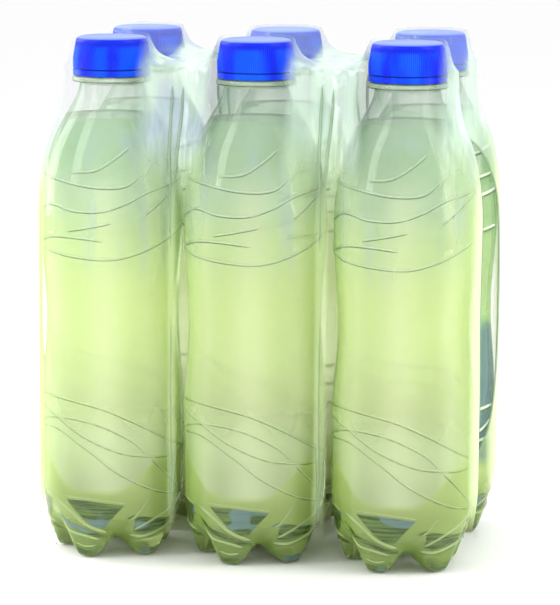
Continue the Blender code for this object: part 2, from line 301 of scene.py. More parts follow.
@dataclass(frozen=True)
class ClearPlastic:
    """Clear blown plastic with a green tint that gathers where the wall turns away, painted
    highlight bands, painted glow and shade over the feet and painted reflections on the end
    bottles.
    """

    layout: Layout
    glow: PaintedGlow
    name: str = "clear_bottle_plastic"
    top_height: float = LIQUID_TOP
    edge: tuple = linear(150, 192, 74)
    high_edge: tuple = linear(118, 156, 116)
    # tone of the painted highlight bands round each bottle
    pale: tuple = linear(244, 253, 208)
    # tone of the painted glow over the feet
    patch: tuple = linear(206, 222, 178)
    lavender: tuple = linear(184, 200, 208)
    # tones of the painted reflections in two ovals on the end bottles
    end_reflection_tone: tuple = linear(70, 112, 112)
    upper_reflection_tone: tuple = linear(112, 164, 84)
    face_alpha: float = 0.2
    # cover of the wall where the painted shade lies over the feet
    painted_shade_alpha: float = 0.56
    high_alpha: float = 0.22
    edge_alpha: float = 0.78
    tint_heights: tuple[float, float] = (0.122, 0.165)
    haze_heights: tuple[float, float] = (0.158, 0.178)
    # turns and half widths, in degrees, of the painted highlight bands
    painted_highlight_bands: tuple = ((-38.0, 20.0), (8.0, 26.0), (52.0, 15.0))
    # painted reflection ovals: middle along Y, centre height, half width, half height
    end_reflection_oval: tuple = (0.020, 0.0595, 0.019, 0.031)
    upper_reflection_oval: tuple = (0.020, 0.126, 0.019, 0.041)
    oval_edge: tuple[float, float] = (0.72, 1.12)
    end_reach: tuple[float, float] = (79.5 * MM, 81.2 * MM)
    reflection_alpha: float = 0.84
    painted_highlight_heights: tuple[float, float] = (140.0 * MM, 160.0 * MM)
    painted_glow_heights: tuple[float, float] = (45.0 * MM, 66.0 * MM)
    streak_scale: tuple[float, float, float] = (95.0, 95.0, 14.0)
    streak_range: tuple[float, float] = (0.47, 0.64)
    streak_low: tuple[float, float] = (100.0 * MM, 130.0 * MM)
    streak_high: tuple[float, float] = (164.0 * MM, 170.0 * MM)
    roughness: float = 0.05
    # tone by height: darker towards the feet, partly the thicker plastic there and partly painted
    # shade
    stops: tuple = ((0.0, linear(78, 98, 44)), (1.0, linear(196, 218, 196)),
                    (0.06, linear(122, 142, 78)), (0.11, linear(158, 178, 106)),
                    (0.2, linear(184, 204, 128)), (0.3, linear(212, 232, 168)),
                    (0.5, linear(222, 244, 166)), (0.62, linear(222, 244, 168)),
                    (0.72, linear(212, 237, 174)), (0.82, linear(198, 222, 190)),
                    (0.92, linear(186, 214, 180)))

    def oval(self, along: Wire, height: Wire, middle: float, centre: float,
             half_width: float, half_height: float) -> Wire:
        """1 inside an oval of painted reflection on the end of the pack and 0 outside it."""
        u = (along - middle) / half_width
        v = (height - centre) / half_height
        return (u * u + v * v).ranged(*self.oval_edge, 1.0, 0.0)

    def build(self) -> bpy.types.Material:
        """Wire the material."""
        surface = Surface(self.name)
        across, along, height = surface.place()
        turned = surface.facing(0.30)
        high = height.ranged(*self.tint_heights)
        # tone by height, darker towards the feet: partly thicker plastic, partly painted shade
        face = surface.ramp(height / self.top_height, self.stops)
        turn = self.layout.turn(surface)
        # painted highlight bands round each bottle, kept out of the painted shade over the feet
        painted_highlight = None
        for centre, half in self.painted_highlight_bands:
            band = surface.band(turn, centre, half)
            painted_highlight = band if painted_highlight is None else painted_highlight.maths("MAXIMUM", band)
        painted_shade_zone = self.glow.painted_shade_zone(surface, across, height)
        painted_highlight = painted_highlight * height.ranged(*self.painted_highlight_heights, 1.0, 0.0) * (1.0 - painted_shade_zone)
        face = surface.mix(painted_highlight * 0.7, face, self.pale)
        # painted glow just over the painted shade of the feet
        patch = (1.0 - painted_shade_zone) * height.ranged(*self.painted_glow_heights, 1.0, 0.0)
        face = surface.mix(patch * 0.8, face, self.patch)
        streak = surface.noise(self.streak_scale).ranged(*self.streak_range)
        streak = streak * height.ranged(*self.streak_low)
        streak = streak * height.ranged(*self.streak_high, 1.0, 0.0)
        face = surface.mix(streak * 0.8, face, self.lavender)
        edge = surface.mix(high, self.edge, self.high_edge)
        least = height.ranged(*self.haze_heights, self.face_alpha, self.high_alpha)
        # more cover where the painted shade lies, so the darker tone shows
        least = least + painted_highlight * 0.1 + painted_shade_zone * (self.painted_shade_alpha - self.face_alpha)
        least = least + patch * 0.24 + streak * 0.16
        share = turned.ranged(0.08, 1.0)
        alpha = least + (self.edge_alpha - least) * share
        # painted reflections in two ovals on the end bottles
        reach = across.maths("ABSOLUTE").ranged(*self.end_reach)
        end = reach * self.oval(along, height, *self.end_reflection_oval)
        upper = reach * self.oval(along, height, *self.upper_reflection_oval)
        tone = surface.mix(turned, face, edge)
        tone = surface.mix(upper * 0.8, surface.mix(end, tone, self.end_reflection_tone), self.upper_reflection_tone)
        alpha = alpha + (self.reflection_alpha - alpha) * (end + upper * 0.55).clamped()
        surface.set(Base_Color=tone, Roughness=self.roughness, IOR=1.5, Alpha=alpha.clamped())
        return surface.material


@dataclass(frozen=True)
class RibFinish:
    """The raised beads of the embossing: light along the crest, dark green where they turn."""

    name: str = "embossed_rib_plastic"
    crest: tuple = linear(222, 242, 190)
    flank: tuple = linear(104, 142, 52)
    high_crest: tuple = linear(224, 240, 222)
    high_flank: tuple = linear(92, 128, 100)
    crest_alpha: float = 0.35
    flank_alpha: float = 0.9
    heights: tuple[float, float] = (0.09, 0.14)
    roughness: float = 0.08

    def build(self) -> bpy.types.Material:
        """Wire the material."""
        surface = Surface(self.name)
        _, _, height = surface.place()
        turned = surface.facing(0.42)
        high = height.ranged(*self.heights)
        crest = surface.mix(high, self.crest, self.high_crest)
        flank = surface.mix(high, self.flank, self.high_flank)
        side = turned.ranged(0.15, 0.75)
        surface.set(Base_Color=surface.mix(side, crest, flank), Roughness=self.roughness, IOR=1.5,
                    Alpha=side * (self.flank_alpha - self.crest_alpha) + self.crest_alpha)
        return surface.material


@dataclass(frozen=True)
class NeckPlastic:
    """Thick clear plastic of the neck and its support ring."""

    name: str = "clear_neck_plastic"
    colour: tuple = linear(206, 230, 196)
    edge: tuple = linear(146, 178, 140)
    line: tuple = linear(52, 70, 60)
    line_height: float = 184.95 * MM
    line_half: float = 0.45 * MM
    roughness: float = 0.08

    def build(self) -> bpy.types.Material:
        """Wire the material."""
        surface = Surface(self.name)
        _, _, height = surface.place()
        turned = surface.facing(0.35)
        line = surface.band(height, self.line_height, self.line_half)
        tone = surface.mix(line, surface.mix(turned, self.colour, self.edge), self.line)
        alpha = (turned.ranged(0.1, 1.0, 0.35, 0.8)).maths("MAXIMUM", line * 0.85)
        surface.set(Base_Color=tone, Roughness=self.roughness, IOR=1.5, Alpha=alpha)
        return surface.material


@dataclass(frozen=True)
class PlainFinish:
    """A finish in one tone."""

    name: str
    colour: tuple
    roughness: float
    ior: float = 1.5
    alpha: float = 1.0

    def build(self) -> bpy.types.Material:
        """Wire the material."""
        surface = Surface(self.name)
        surface.set(Base_Color=self.colour, Roughness=self.roughness, IOR=self.ior,
                    Alpha=self.alpha)
        return surface.material


@dataclass(frozen=True)
class RidgeFinish:
    """A raised ridge: one tone along its crest and a deeper one where it turns away."""

    name: str
    crest: tuple
    flank: tuple
    tone_range: tuple[float, float]
    alphas: tuple[float, float]
    roughness: float
    alpha_range: tuple[float, float] = (0.1, 0.9)

    def build(self) -> bpy.types.Material:
        """Wire the material."""
        surface = Surface(self.name)
        turned = surface.facing(0.4)
        tone = surface.mix(turned.ranged(*self.tone_range), self.crest, self.flank)
        surface.set(Base_Color=tone, Roughness=self.roughness, IOR=1.5,
                    Alpha=turned.ranged(*self.alpha_range, *self.alphas))
        return surface.material


WATER_LEVEL = PlainFinish("water_surface", linear(206, 224, 200), 0.05, 1.33, 0.4)
# dark lines under the embossed beads: painted shadow
RIB_SHADOW = PlainFinish("rib_painted_shadow", linear(94, 128, 66), 0.1, alpha=0.66)
# pale end ribs: a painted highlight of the light they catch edge-on
END_RIB_HIGHLIGHT = PlainFinish("end_rib_painted_highlight", linear(216, 232, 204), 0.1, alpha=0.92)
FLOOR = PlainFinish("studio_floor", linear(250, 250, 250), 0.6)
FOOT_CREASE = RidgeFinish("foot_crease_plastic", linear(186, 206, 146), linear(104, 126, 66),
                          (0.2, 0.9), (0.5, 0.92), 0.12)
FILM_FOLD = RidgeFinish("film_fold", linear(158, 188, 152), linear(64, 100, 76),
                        (0.15, 0.8), (0.45, 0.95), 0.1)


@dataclass(frozen=True)
class FootPanelShade:
    """The panels of the feet, painted darkest as painted shade, with patches of painted reflection.
    """

    name: str = "foot_panel_painted_shade"
    # the two darkest tones are painted shade; the bluish one is painted reflection
    dark: tuple = linear(54, 80, 34)
    mid: tuple = linear(96, 118, 58)
    painted_reflection_grey: tuple = linear(98, 126, 130)
    roughness: float = 0.15

    def build(self) -> bpy.types.Material:
        """Wire the material."""
        surface = Surface(self.name)
        grain = surface.noise((70.0, 70.0, 1100.0), 3.0).ranged(0.36, 0.7)
        patch = surface.noise((60.0, 60.0, 110.0), 1.0).ranged(0.57, 0.61)
        # painted shade streaked by grain, with patches of painted reflection
        tone = surface.mix(patch * 0.75, surface.mix(grain, self.dark, self.mid), self.painted_reflection_grey)
        surface.set(Base_Color=tone, Roughness=self.roughness, IOR=1.5, Alpha=0.88)
        return surface.material


@dataclass(frozen=True)
class DrinkFinish:
    """Still water, tinted by the plastic round it and deeper in tone towards the feet, partly the
    thicker plastic and partly painted shade, with more painted shade under the glow's edge.
    """

    glow: PaintedGlow
    name: str = "tinted_water"
    roughness: float = 0.12
    top_height: float = LIQUID_TOP
    # tint of the painted shade under the edge of the painted glow
    shade: tuple = linear(222, 224, 200)
    stops: tuple = ((0.0, linear(210, 220, 160)), (1.0, linear(206, 228, 206)),
                    (0.07, linear(210, 220, 160)), (0.14, linear(230, 240, 188)),
                    (0.26, linear(242, 249, 212)), (0.42, linear(240, 250, 206)),
                    (0.60, linear(244, 254, 204)), (0.72, linear(241, 253, 210)),
                    (0.82, linear(230, 245, 222)), (0.92, linear(206, 230, 202)))

    def build(self) -> bpy.types.Material:
        """Wire the material."""
        surface = Surface(self.name)
        across, _, height = surface.place()
        # tone by height: deeper towards the feet, partly the thicker plastic and partly painted
        # shade
        tone = surface.ramp(height / self.top_height, self.stops)
        painted_shade_zone = self.glow.painted_shade_zone(surface, across, height)
        # painted shade under the edge of the painted glow
        shaded = surface.multiply(tone, self.shade)
        surface.set(Base_Color=surface.mix(painted_shade_zone, tone, shaded), Roughness=self.roughness,
                    IOR=1.33, Transmission_Weight=0.8)
        return surface.material


@dataclass(frozen=True)
class CapPlastic:
    """Moulded ultramarine plastic with a satin gloss and two scored lines round its band, painted
    shade on its rounded top edge and a painted highlight on its flat top.
    """

    name: str = "blue_cap_plastic"
    side: tuple = linear(0, 82, 250)
    deep: tuple = linear(0, 30, 214)
    # painted shade on the rounded top edge and painted highlight on the flat top
    painted_bevel_shade: tuple = linear(0, 36, 208)
    painted_crown_highlight: tuple = linear(120, 142, 224)
    line: tuple = linear(0, 14, 96)
    painted_bevel_shade_heights: tuple[float, float] = (197.6 * MM, 199.4 * MM)
    painted_crown_highlight_heights: tuple[float, float] = (201.0 * MM, 201.7 * MM)
    line_heights: tuple[float, float] = (189.75 * MM, 187.0 * MM)
    line_half: float = 0.4 * MM
    roughness: float = 0.36

    def build(self) -> bpy.types.Material:
        """Wire the material."""
        surface = Surface(self.name)
        _, _, height = surface.place()
        grain = surface.noise((900.0, 900.0, 900.0), 3.0)
        cloud = surface.noise((90.0, 90.0, 24.0)).ranged(0.35, 0.65)
        tone = surface.mix(cloud, self.side, self.deep)
        # painted shade on the rounded top edge, then painted highlight on the flat top
        tone = surface.mix(height.ranged(*self.painted_bevel_shade_heights), tone, self.painted_bevel_shade)
        tone = surface.mix(height.ranged(*self.painted_crown_highlight_heights), tone, self.painted_crown_highlight)
        for place in self.line_heights:
            tone = surface.mix(surface.band(height, place, self.line_half), tone, self.line)
        surface.set(Base_Color=tone, Roughness=self.roughness + (grain - 0.5) * 0.12,
                    Normal=surface.bump(grain, 0.05 * MM), Specular_IOR_Level=0.16)
        return surface.material


@dataclass(frozen=True)
class FilmFinish:
    """Thin clear film: clear where it clings, pale where it bridges, folds or turns away."""

    columns: tuple[float, ...]
    name: str = "clear_shrink_film"
    colour: tuple = linear(196, 220, 202)
    cool: tuple = linear(176, 192, 210)
    body_colour: tuple = linear(212, 238, 146)
    groove_colour: tuple = linear(222, 240, 182)
    face_alpha: float = 0.01
    edge_alpha: float = 1.0
    high_edge_alpha: float = 0.4
    bridge_alpha: float = 0.74
    back_alpha: float = 0.22
    groove_alpha: float = 0.3
    roughness: float = 0.07
    rim_roughness: float = 0.5
    high_heights: tuple[float, float] = (135.0 * MM, 172.0 * MM)
    low_heights: tuple[float, float] = (8.0 * MM, 34.0 * MM)
    back_heights: tuple[float, float] = (150.0 * MM, 180.0 * MM)
    cap_heights: tuple[float, float] = (180.0 * MM, 188.0 * MM)
    bridge_reach: tuple[float, float] = (12.5 * MM, 19.0 * MM)
    groove_reach: tuple[float, float] = (25.8 * MM, 28.2 * MM)
    cap_reach: tuple[float, float] = (13.5 * MM, 17.5 * MM)
    back_reach: tuple[float, float] = (-12.0 * MM, 12.0 * MM)
    outer_reach: tuple[float, float] = (66.0 * MM, 78.0 * MM)
    rim_reach: tuple[float, float] = (79.0 * MM, 83.0 * MM)
    left_reach: tuple[float, float] = (-74.0 * MM, -62.0 * MM)
    outer_least: float = 0.16
    fading: float = 0.85

    def build(self) -> bpy.types.Material:
        """Wire the material."""
        surface = Surface(self.name)
        across, along, height = surface.place()
        away = surface.nearest(across, self.columns)
        turned = surface.facing(0.30)
        streaks = surface.noise((190.0, 120.0, 9.0)).ranged(0.4, 0.7)
        cool = surface.noise((55.0, 40.0, 22.0), 1.0).ranged(0.46, 0.62)
        high = height.ranged(*self.high_heights)
        bridge = away.ranged(*self.bridge_reach) * high
        back = along.ranged(*self.back_reach) * height.ranged(*self.back_heights)
        groove = away.ranged(*self.groove_reach) * (1.0 - high)
        sideways = across.maths("ABSOLUTE")
        outer = sideways.ranged(*self.outer_reach, self.outer_least, 1.0).maths("MAXIMUM", high)
        cap = height.ranged(*self.cap_heights) * away.ranged(*self.cap_reach, 1.0, 0.0)
        clear = turned.ranged(0.1, 1.0) * (high * (self.high_edge_alpha - self.edge_alpha)
                                           + self.edge_alpha)
        clear = (clear * outer + self.face_alpha) * (1.0 - cap * self.fading)
        haze = (bridge * (0.7 + streaks * 0.4) * self.bridge_alpha).maths(
            "MAXIMUM", back * self.back_alpha).maths("MAXIMUM", groove * self.groove_alpha)
        low = height.ranged(*self.low_heights)
        left = 1.0 - across.ranged(*self.left_reach, 1.0, 0.0) * high * self.fading
        tone = surface.mix(high, surface.mix(groove, self.body_colour, self.groove_colour),
                           surface.mix(cool, self.colour, self.cool))
        rim = sideways.ranged(*self.rim_reach)
        surface.set(Base_Color=tone, Roughness=rim * self.rim_roughness + self.roughness, IOR=1.5,
                    Alpha=((clear + haze) * low * left).clamped(),
                    Normal=surface.bump(surface.noise((90.0, 70.0, 18.0)), 0.6 * MM, 0.4))
        return surface.material


def make_mesh(name: str, points: np.ndarray, quads: np.ndarray,
              material: bpy.types.Material) -> bpy.types.Object:
    """Make a smooth-shaded object from points and four-cornered faces.

    Args:
        name: the object's name.
        points: an array of N by 3 places.
        quads: an array of M by 4 point numbers.
        material: the object's only material.

    Returns:
        The object, linked to the scene.
    """
    mesh = bpy.data.meshes.new(name)
    mesh.from_pydata(points.reshape(-1, 3).tolist(), [], quads.reshape(-1, 4).tolist())
    mesh.validate()
    mesh.shade_smooth()
    mesh.materials.append(material)
    piece = bpy.data.objects.new(name, mesh)
    bpy.context.collection.objects.link(piece)
    return piece


def swept(route: np.ndarray, half: float, taper: np.ndarray,
          section: Sequence[tuple[float, float]]) -> list[tuple[np.ndarray, ...]]:
    """Sweep a section along a route on an unrolled wall.

    Args:
        route: an array of N by 2 places, round the wall and upwards.
        half: half of the section's width.
        taper: the section's size at each place, from 0 to 1.
        section: pairs of (share across, share of the rise).

    Returns:
        For each pair, the places round and upwards and the share of the rise, tapered.
    """
    ahead = np.gradient(route, axis=0)
    ahead /= np.linalg.norm(ahead, axis=1)[:, None]
    reach = half * taper
    return [(route[:, 0] - ahead[:, 1] * across * reach,
             route[:, 1] + ahead[:, 0] * across * reach, rise * taper)
            for across, rise in section]


def tapered(count: int, rate: float, least: float) -> np.ndarray:
    """Sizes along a bead that is full in its middle and thin at both ends."""
    share = np.linspace(0.0, 1.0, count)
    return np.clip(np.sin(math.pi * share) * rate, least, 1.0) ** 0.5


def grid_quads(rows: int, columns: int, wrap: bool) -> np.ndarray:
    """Faces of a grid of points, whose columns may close on themselves."""
    across = np.arange(columns if wrap else columns - 1)
    upward = np.arange(rows - 1)
    first = upward[:, None] * columns + across[None, :]
    second = upward[:, None] * columns + (across[None, :] + 1) % columns
    return np.stack([first, second, second + columns, first + columns], axis=-1)


class Patchwork:
    """Several grids of points gathered into one piece."""

    def __init__(self) -> None:
        """Start with no grids."""
        self.points: list[np.ndarray] = []
        self.quads: list[np.ndarray] = []
        self.count = 0

    def add(self, rows: np.ndarray, wrap: bool = False) -> None:
        """Add one grid of points, whose columns may close on themselves."""
        self.quads.append(grid_quads(*rows.shape[:2], wrap=wrap).reshape(-1, 4) + self.count)
        self.points.append(rows.reshape(-1, 3))
        self.count += len(self.points[-1])

    def build(self, name: str, material: bpy.types.Material) -> bpy.types.Object:
        """Make the piece."""
        return make_mesh(name, np.concatenate(self.points), np.concatenate(self.quads), material)


@dataclass(frozen=True)
class Rib:
    """An embossed line on a bottle's wall.

    Each point is (turn in degrees from the middle of the embossed side, height in millimetres).
    """

    points: tuple[tuple[float, float], ...]
    width: float = 1.1 * MM
    rise: float = 0.35 * MM
    bead_half: float = 0.37 * MM
    bead_rise: float = 0.42 * MM

    def route(self, radius: float, steps: int) -> np.ndarray:
        """The line's smooth route over the wall unrolled at a radius, in metres."""
        points = np.array(self.points, dtype=float)
        points[:, 0] *= math.radians(1.0) * radius
        points[:, 1] *= MM
        ends = [2.0 * points[0] - points[1], 2.0 * points[-1] - points[-2]]
        points = np.concatenate([[ends[0]], points, [ends[1]]])
        found = []
        for a, b, c, d in zip(points, points[1:], points[2:], points[3:]):
            for t in np.linspace(0.0, 1.0, steps + 1)[:-1]:
                square, cube = t * t, t ** 3
                found.append(0.5 * (2.0 * b + (c - a) * t
                                    + (2.0 * a - 5.0 * b + 4.0 * c - d) * square
                                    + (3.0 * b - a - 3.0 * c + d) * cube))
        found.append(points[-2])
        return np.array(found)


# The waves on the embossed side of a bottle.
FRONT_RIBS = (
    Rib(((-88, 149), (-50, 147.8), (-10, 145.6), (14, 146.2), (28, 150.5))),
    Rib(((20, 161), (4, 156), (-12, 152), (-34, 151))),
    Rib(((46, 159), (38, 154), (30, 149))),
    Rib(((-84, 133), (-56, 138), (-30, 136.4), (-6, 136.6), (14, 139.6), (36, 144), (80, 147))),
    Rib(((72, 146), (50, 141), (30, 135))),
    Rib(((-36, 128.5), (-16, 130.4), (2, 132.3)), 0.9 * MM, 0.2 * MM, 0.35 * MM, 0.3 * MM),
    Rib(((-86, 121), (-56, 125.4), (-30, 126.2), (-4, 125.3)),
        0.9 * MM, 0.2 * MM, 0.38 * MM, 0.32 * MM),
    Rib(((-86, 124), (-62, 120.4), (-26, 118.6), (2, 118.2), (24, 120.4), (52, 125), (88, 131))),
    Rib(((-92, 62), (-54, 63.4), (-12, 61), (18, 55.2), (50, 47), (88, 40))),
    Rib(((-90, 61), (-50, 55.8), (-20, 48.6), (6, 43.4), (26, 41.3), (56, 40), (90, 43))),
    Rib(((-88, 50), (-50, 55.3), (-14, 54.5), (16, 48), (32, 41))),
    Rib(((-92, 49), (-50, 51), (-20, 44.4), (6, 35.2), (34, 28), (60, 24.5), (88, 23))),
    Rib(((34, 40), (52, 32.5), (74, 24)), 0.9 * MM, 0.25 * MM, 0.4 * MM, 0.36 * MM),
)
# The short ribs that show in the end opening, turned on from the embossed side.
SIDE_RIBS = (
    Rib(((-183, 154), (-161, 155.5), (-141, 157), (-123, 159)), bead_half=0.6 * MM),
    Rib(((-181, 144.5), (-161, 146), (-143, 146.8)), bead_half=0.55 * MM),
    Rib(((-183, 137), (-161, 138.8), (-141, 140), (-127, 140)), bead_half=0.65 * MM),
    Rib(((-181, 123), (-161, 124.6), (-141, 125.5)), bead_half=0.55 * MM),
    Rib(((-181, 51.5), (-161, 52.3), (-141, 52.8)), bead_half=0.65 * MM),
    Rib(((-181, 41.5), (-161, 43.8), (-145, 47)), bead_half=0.6 * MM),
    Rib(((-183, 39), (-161, 39.6), (-139, 41)), bead_half=0.65 * MM),
)


@dataclass
class BottleForm:
    """The shape of a bottle's wall: five feet, a long waist, a shoulder and a neck."""

    body: float = 27.6 * MM
    base_join: float = 30.0 * MM
    waist: tuple[float, float] = (58.0 * MM, 128.0 * MM)
    waist_dip: float = 1.8 * MM
    shoulder: tuple = ((27.6 * MM, 131.3 * MM), (27.6 * MM, 168.0 * MM),
                       (12.5 * MM, 172.9 * MM), (12.5 * MM, 184.2 * MM))
    pad_inner: float = 18.2 * MM
    pad_outer: float = 21.2 * MM
    pole: float = 4.0 * MM
    foot_curve: tuple = ((21.2 * MM, 0.0), (21.6 * MM, 0.0), (27.6 * MM, 11.65 * MM),
                         (27.6 * MM, 30.0 * MM))
    valley_curve: tuple = ((0.0, 4.0 * MM), (14.0 * MM, 4.0 * MM), (27.6 * MM, 10.0 * MM),
                           (27.6 * MM, 30.0 * MM))
    foot_turns: int = 5
    foot_half: float = 7.0
    valley_half: float = 3.0
    pad_share: tuple[float, float] = (0.44, 0.52)
    ribs: tuple[Rib, ...] = FRONT_RIBS
    side_ribs: tuple[Rib, ...] = SIDE_RIBS
    sides: int = 160
    base_rings: int = 44
    body_rings: int = 68
    shoulder_rings: int = 38

    def feet(self, turn: np.ndarray) -> np.ndarray:
        """1 on the middle of a foot and 0 in a valley, for angles from a foot's middle."""
        step = 2.0 * math.pi / self.foot_turns
        away = np.degrees(np.abs((turn + step / 2.0) % step - step / 2.0))
        return 1.0 - smooth(self.foot_half, math.degrees(step) / 2.0 - self.valley_half, away)

    def base(self, turn: np.ndarray) -> np.ndarray:
        """Radius and height of the base, ring by ring from the middle out."""
        t = np.linspace(0.02, 1.0, self.base_rings)
        low, high = self.pad_share
        inner = np.clip(t / low, 0.0, 1.0)
        foot = np.stack([self.pad_inner * inner,
                         self.pole * (1.0 + np.cos(math.pi * inner)) / 2.0], axis=-1)
        pad = np.clip((t - low) / (high - low), 0.0, 1.0)
        foot[:, 0] += (self.pad_outer - self.pad_inner) * pad
        outer = np.clip((t - high) / (1.0 - high), 0.0, 1.0)
        foot = np.where((t > high)[:, None], bezier(self.foot_curve, outer), foot)
        valley = bezier(self.valley_curve, t)
        share = self.feet(turn)[None, :, None]
        return foot[:, None, :] * share + valley[:, None, :] * (1.0 - share)

    def wall(self, rib_turn: float, foot_turn: float, half: float = 0.0,
             top: float = 184.2 * MM) -> np.ndarray:
        """Radius and height of the whole outer wall, as rings by sides by 2.

        Args:
            rib_turn: direction of the middle of the embossed side, in radians.
            foot_turn: direction of a foot's middle, in radians.
            half: turn in radians to the embossed half of the bottle.
            top: height where the wall stops.

        Returns:
            An array whose last axis is radius and height.
        """
        turn = np.arange(self.sides) * 2.0 * math.pi / self.sides
        base = self.base(turn - foot_turn)
        heights = np.linspace(self.base_join, self.shoulder[0][1], self.body_rings)[1:]
        body = np.stack([self.waisted(heights), heights], axis=-1)
        shoulder = bezier(self.shoulder, np.linspace(0.0, 1.0, self.shoulder_rings)[1:])
        round_part = np.concatenate([body, shoulder])
        round_part = round_part[round_part[:, 1] <= top + 0.01 * MM]
        round_part = np.repeat(round_part[:, None, :], self.sides, axis=1)
        rings = np.concatenate([base, round_part])
        rings[..., 0] += self.relief(turn - rib_turn - half, rings)
        return rings

    def waisted(self, heights: np.ndarray) -> np.ndarray:
        """Radius of the body at some heights, a little less over its waist."""
        low, high = self.waist
        phase = np.clip((heights - low) / (high - low), 0.0, 1.0)
        return self.body - self.waist_dip * (1.0 - np.cos(2.0 * math.pi * phase)) / 2.0

    def relief(self, turn: np.ndarray, rings: np.ndarray) -> np.ndarray:
        """How far the embossed ribs stand out at each point of the wall."""
        angles = np.degrees(turn)[None, :].repeat(len(rings), axis=0)
        total = np.zeros(rings.shape[:2])
        arc = math.radians(1.0) * self.body
        u = ((angles + 180.0) % 360.0 - 180.0) * arc
        v = rings[..., 1]
        for rib in self.ribs:
            route = rib.route(self.body, 6)
            near = np.full(u.shape, 1.0)
            for start, end in zip(route, route[1:]):
                step = end - start
                share = ((u - start[0]) * step[0] + (v - start[1]) * step[1]) / step.dot(step)
                share = np.clip(share, 0.0, 1.0)
                du = u - start[0] - share * step[0]
                dv = v - start[1] - share * step[1]
                near = np.minimum(near, np.hypot(du, dv))
            total = np.maximum(total, rib.rise * np.exp(-(near / rib.width) ** 2))
        return total

    def radius_at(self, heights: np.ndarray) -> np.ndarray:
        """Radius of the wall at some heights, over a foot where the feet reach."""
        foot = bezier(self.foot_curve, np.linspace(0.0, 1.0, 60))
        shoulder = bezier(self.shoulder, np.linspace(0.0, 1.0, 120))
        radius = np.where(heights < self.base_join, np.interp(heights, foot[:, 1], foot[:, 0]),
                          self.waisted(heights))
        over = np.interp(heights, shoulder[:, 1], shoulder[:, 0])
        return np.where(heights > self.shoulder[0][1], over, radius)


@dataclass
class Place:
    """Where a bottle stands and how its feet and ribs are turned."""

    number: int
    axis: Vector
    base: float
    foot_turn: float
    rib_turn: float
    least_radius: float = 0.05 * MM
    foot_blend: float = 30.0 * MM

    @property
    def half(self) -> float:
        """Turn to the outward half, which carries the embossing."""
        return 0.0 if self.axis.y < 0.0 else math.pi

    def points(self, rings: np.ndarray, inset: float = 0.0) -> np.ndarray:
        """Rings of radius and height as places in the frame, moved inwards by an inset."""
        sides = rings.shape[1]
        turn = np.arange(sides) * 2.0 * math.pi / sides
        radius = np.maximum(rings[..., 0] - inset, self.least_radius)
        height = rings[..., 1] + inset * (1.0 - smooth(0.0, self.foot_blend, rings[..., 1]))
        x = self.axis.x + radius * np.cos(turn)
        y = self.axis.y + radius * np.sin(turn)
        return np.stack([x, y, self.base + height], axis=-1)


@dataclass
class Bottle:
    """One bottle's blown wall, with its thick neck as a piece of its own."""

    place: Place
    form: BottleForm
    finish: bpy.types.Material
    neck_finish: bpy.types.Material
    ring_radius: float = 15.45 * MM
    ring_low: float = 184.0 * MM
    ring_high: float = 185.9 * MM
    finish_radius: float = 12.7 * MM
    mouth_radius: float = 11.0 * MM
    mouth_height: float = 198.6 * MM
    inner_low: float = 183.0 * MM
    neck_sides: int = 96

    def build(self) -> bpy.types.Object:
        """Build the wall and the neck and hang both on the frame."""
        number = self.place.number
        rings = self.form.wall(self.place.rib_turn, self.place.foot_turn, self.place.half)
        points = self.place.points(rings)
        quads = grid_quads(*points.shape[:2], wrap=True)
        wall = make_mesh(f"wall_{number}", points, quads, self.finish)
        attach(wall, "root")
        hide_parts(f"bottle_{number}")
        neck = self.build_neck()
        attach(neck, "root")
        return wall

    def build_neck(self) -> bpy.types.Object:
        """The support ring and the finish under the cap."""
        low, high = self.ring_low, self.ring_high
        soft = 0.3 * MM
        profile = [(12.3 * MM, self.inner_low), (12.5 * MM, low - soft), (12.9 * MM, low),
                   (self.ring_radius - soft, low), (self.ring_radius, low + soft),
                   (self.ring_radius, high - soft), (self.ring_radius - soft, high),
                   (self.finish_radius, high), (self.finish_radius, self.mouth_height),
                   (self.mouth_radius, self.mouth_height), (self.mouth_radius, self.inner_low)]
        profile.append(profile[0])
        rings = np.repeat(np.array(profile)[:, None, :], self.neck_sides, axis=1)
        points = self.place.points(rings)
        quads = grid_quads(*points.shape[:2], wrap=True)
        neck = make_mesh(f"neck_{self.place.number}", points, quads, self.neck_finish)
        neck.data.set_sharp_from_angle(angle=math.radians(50.0))
        return neck


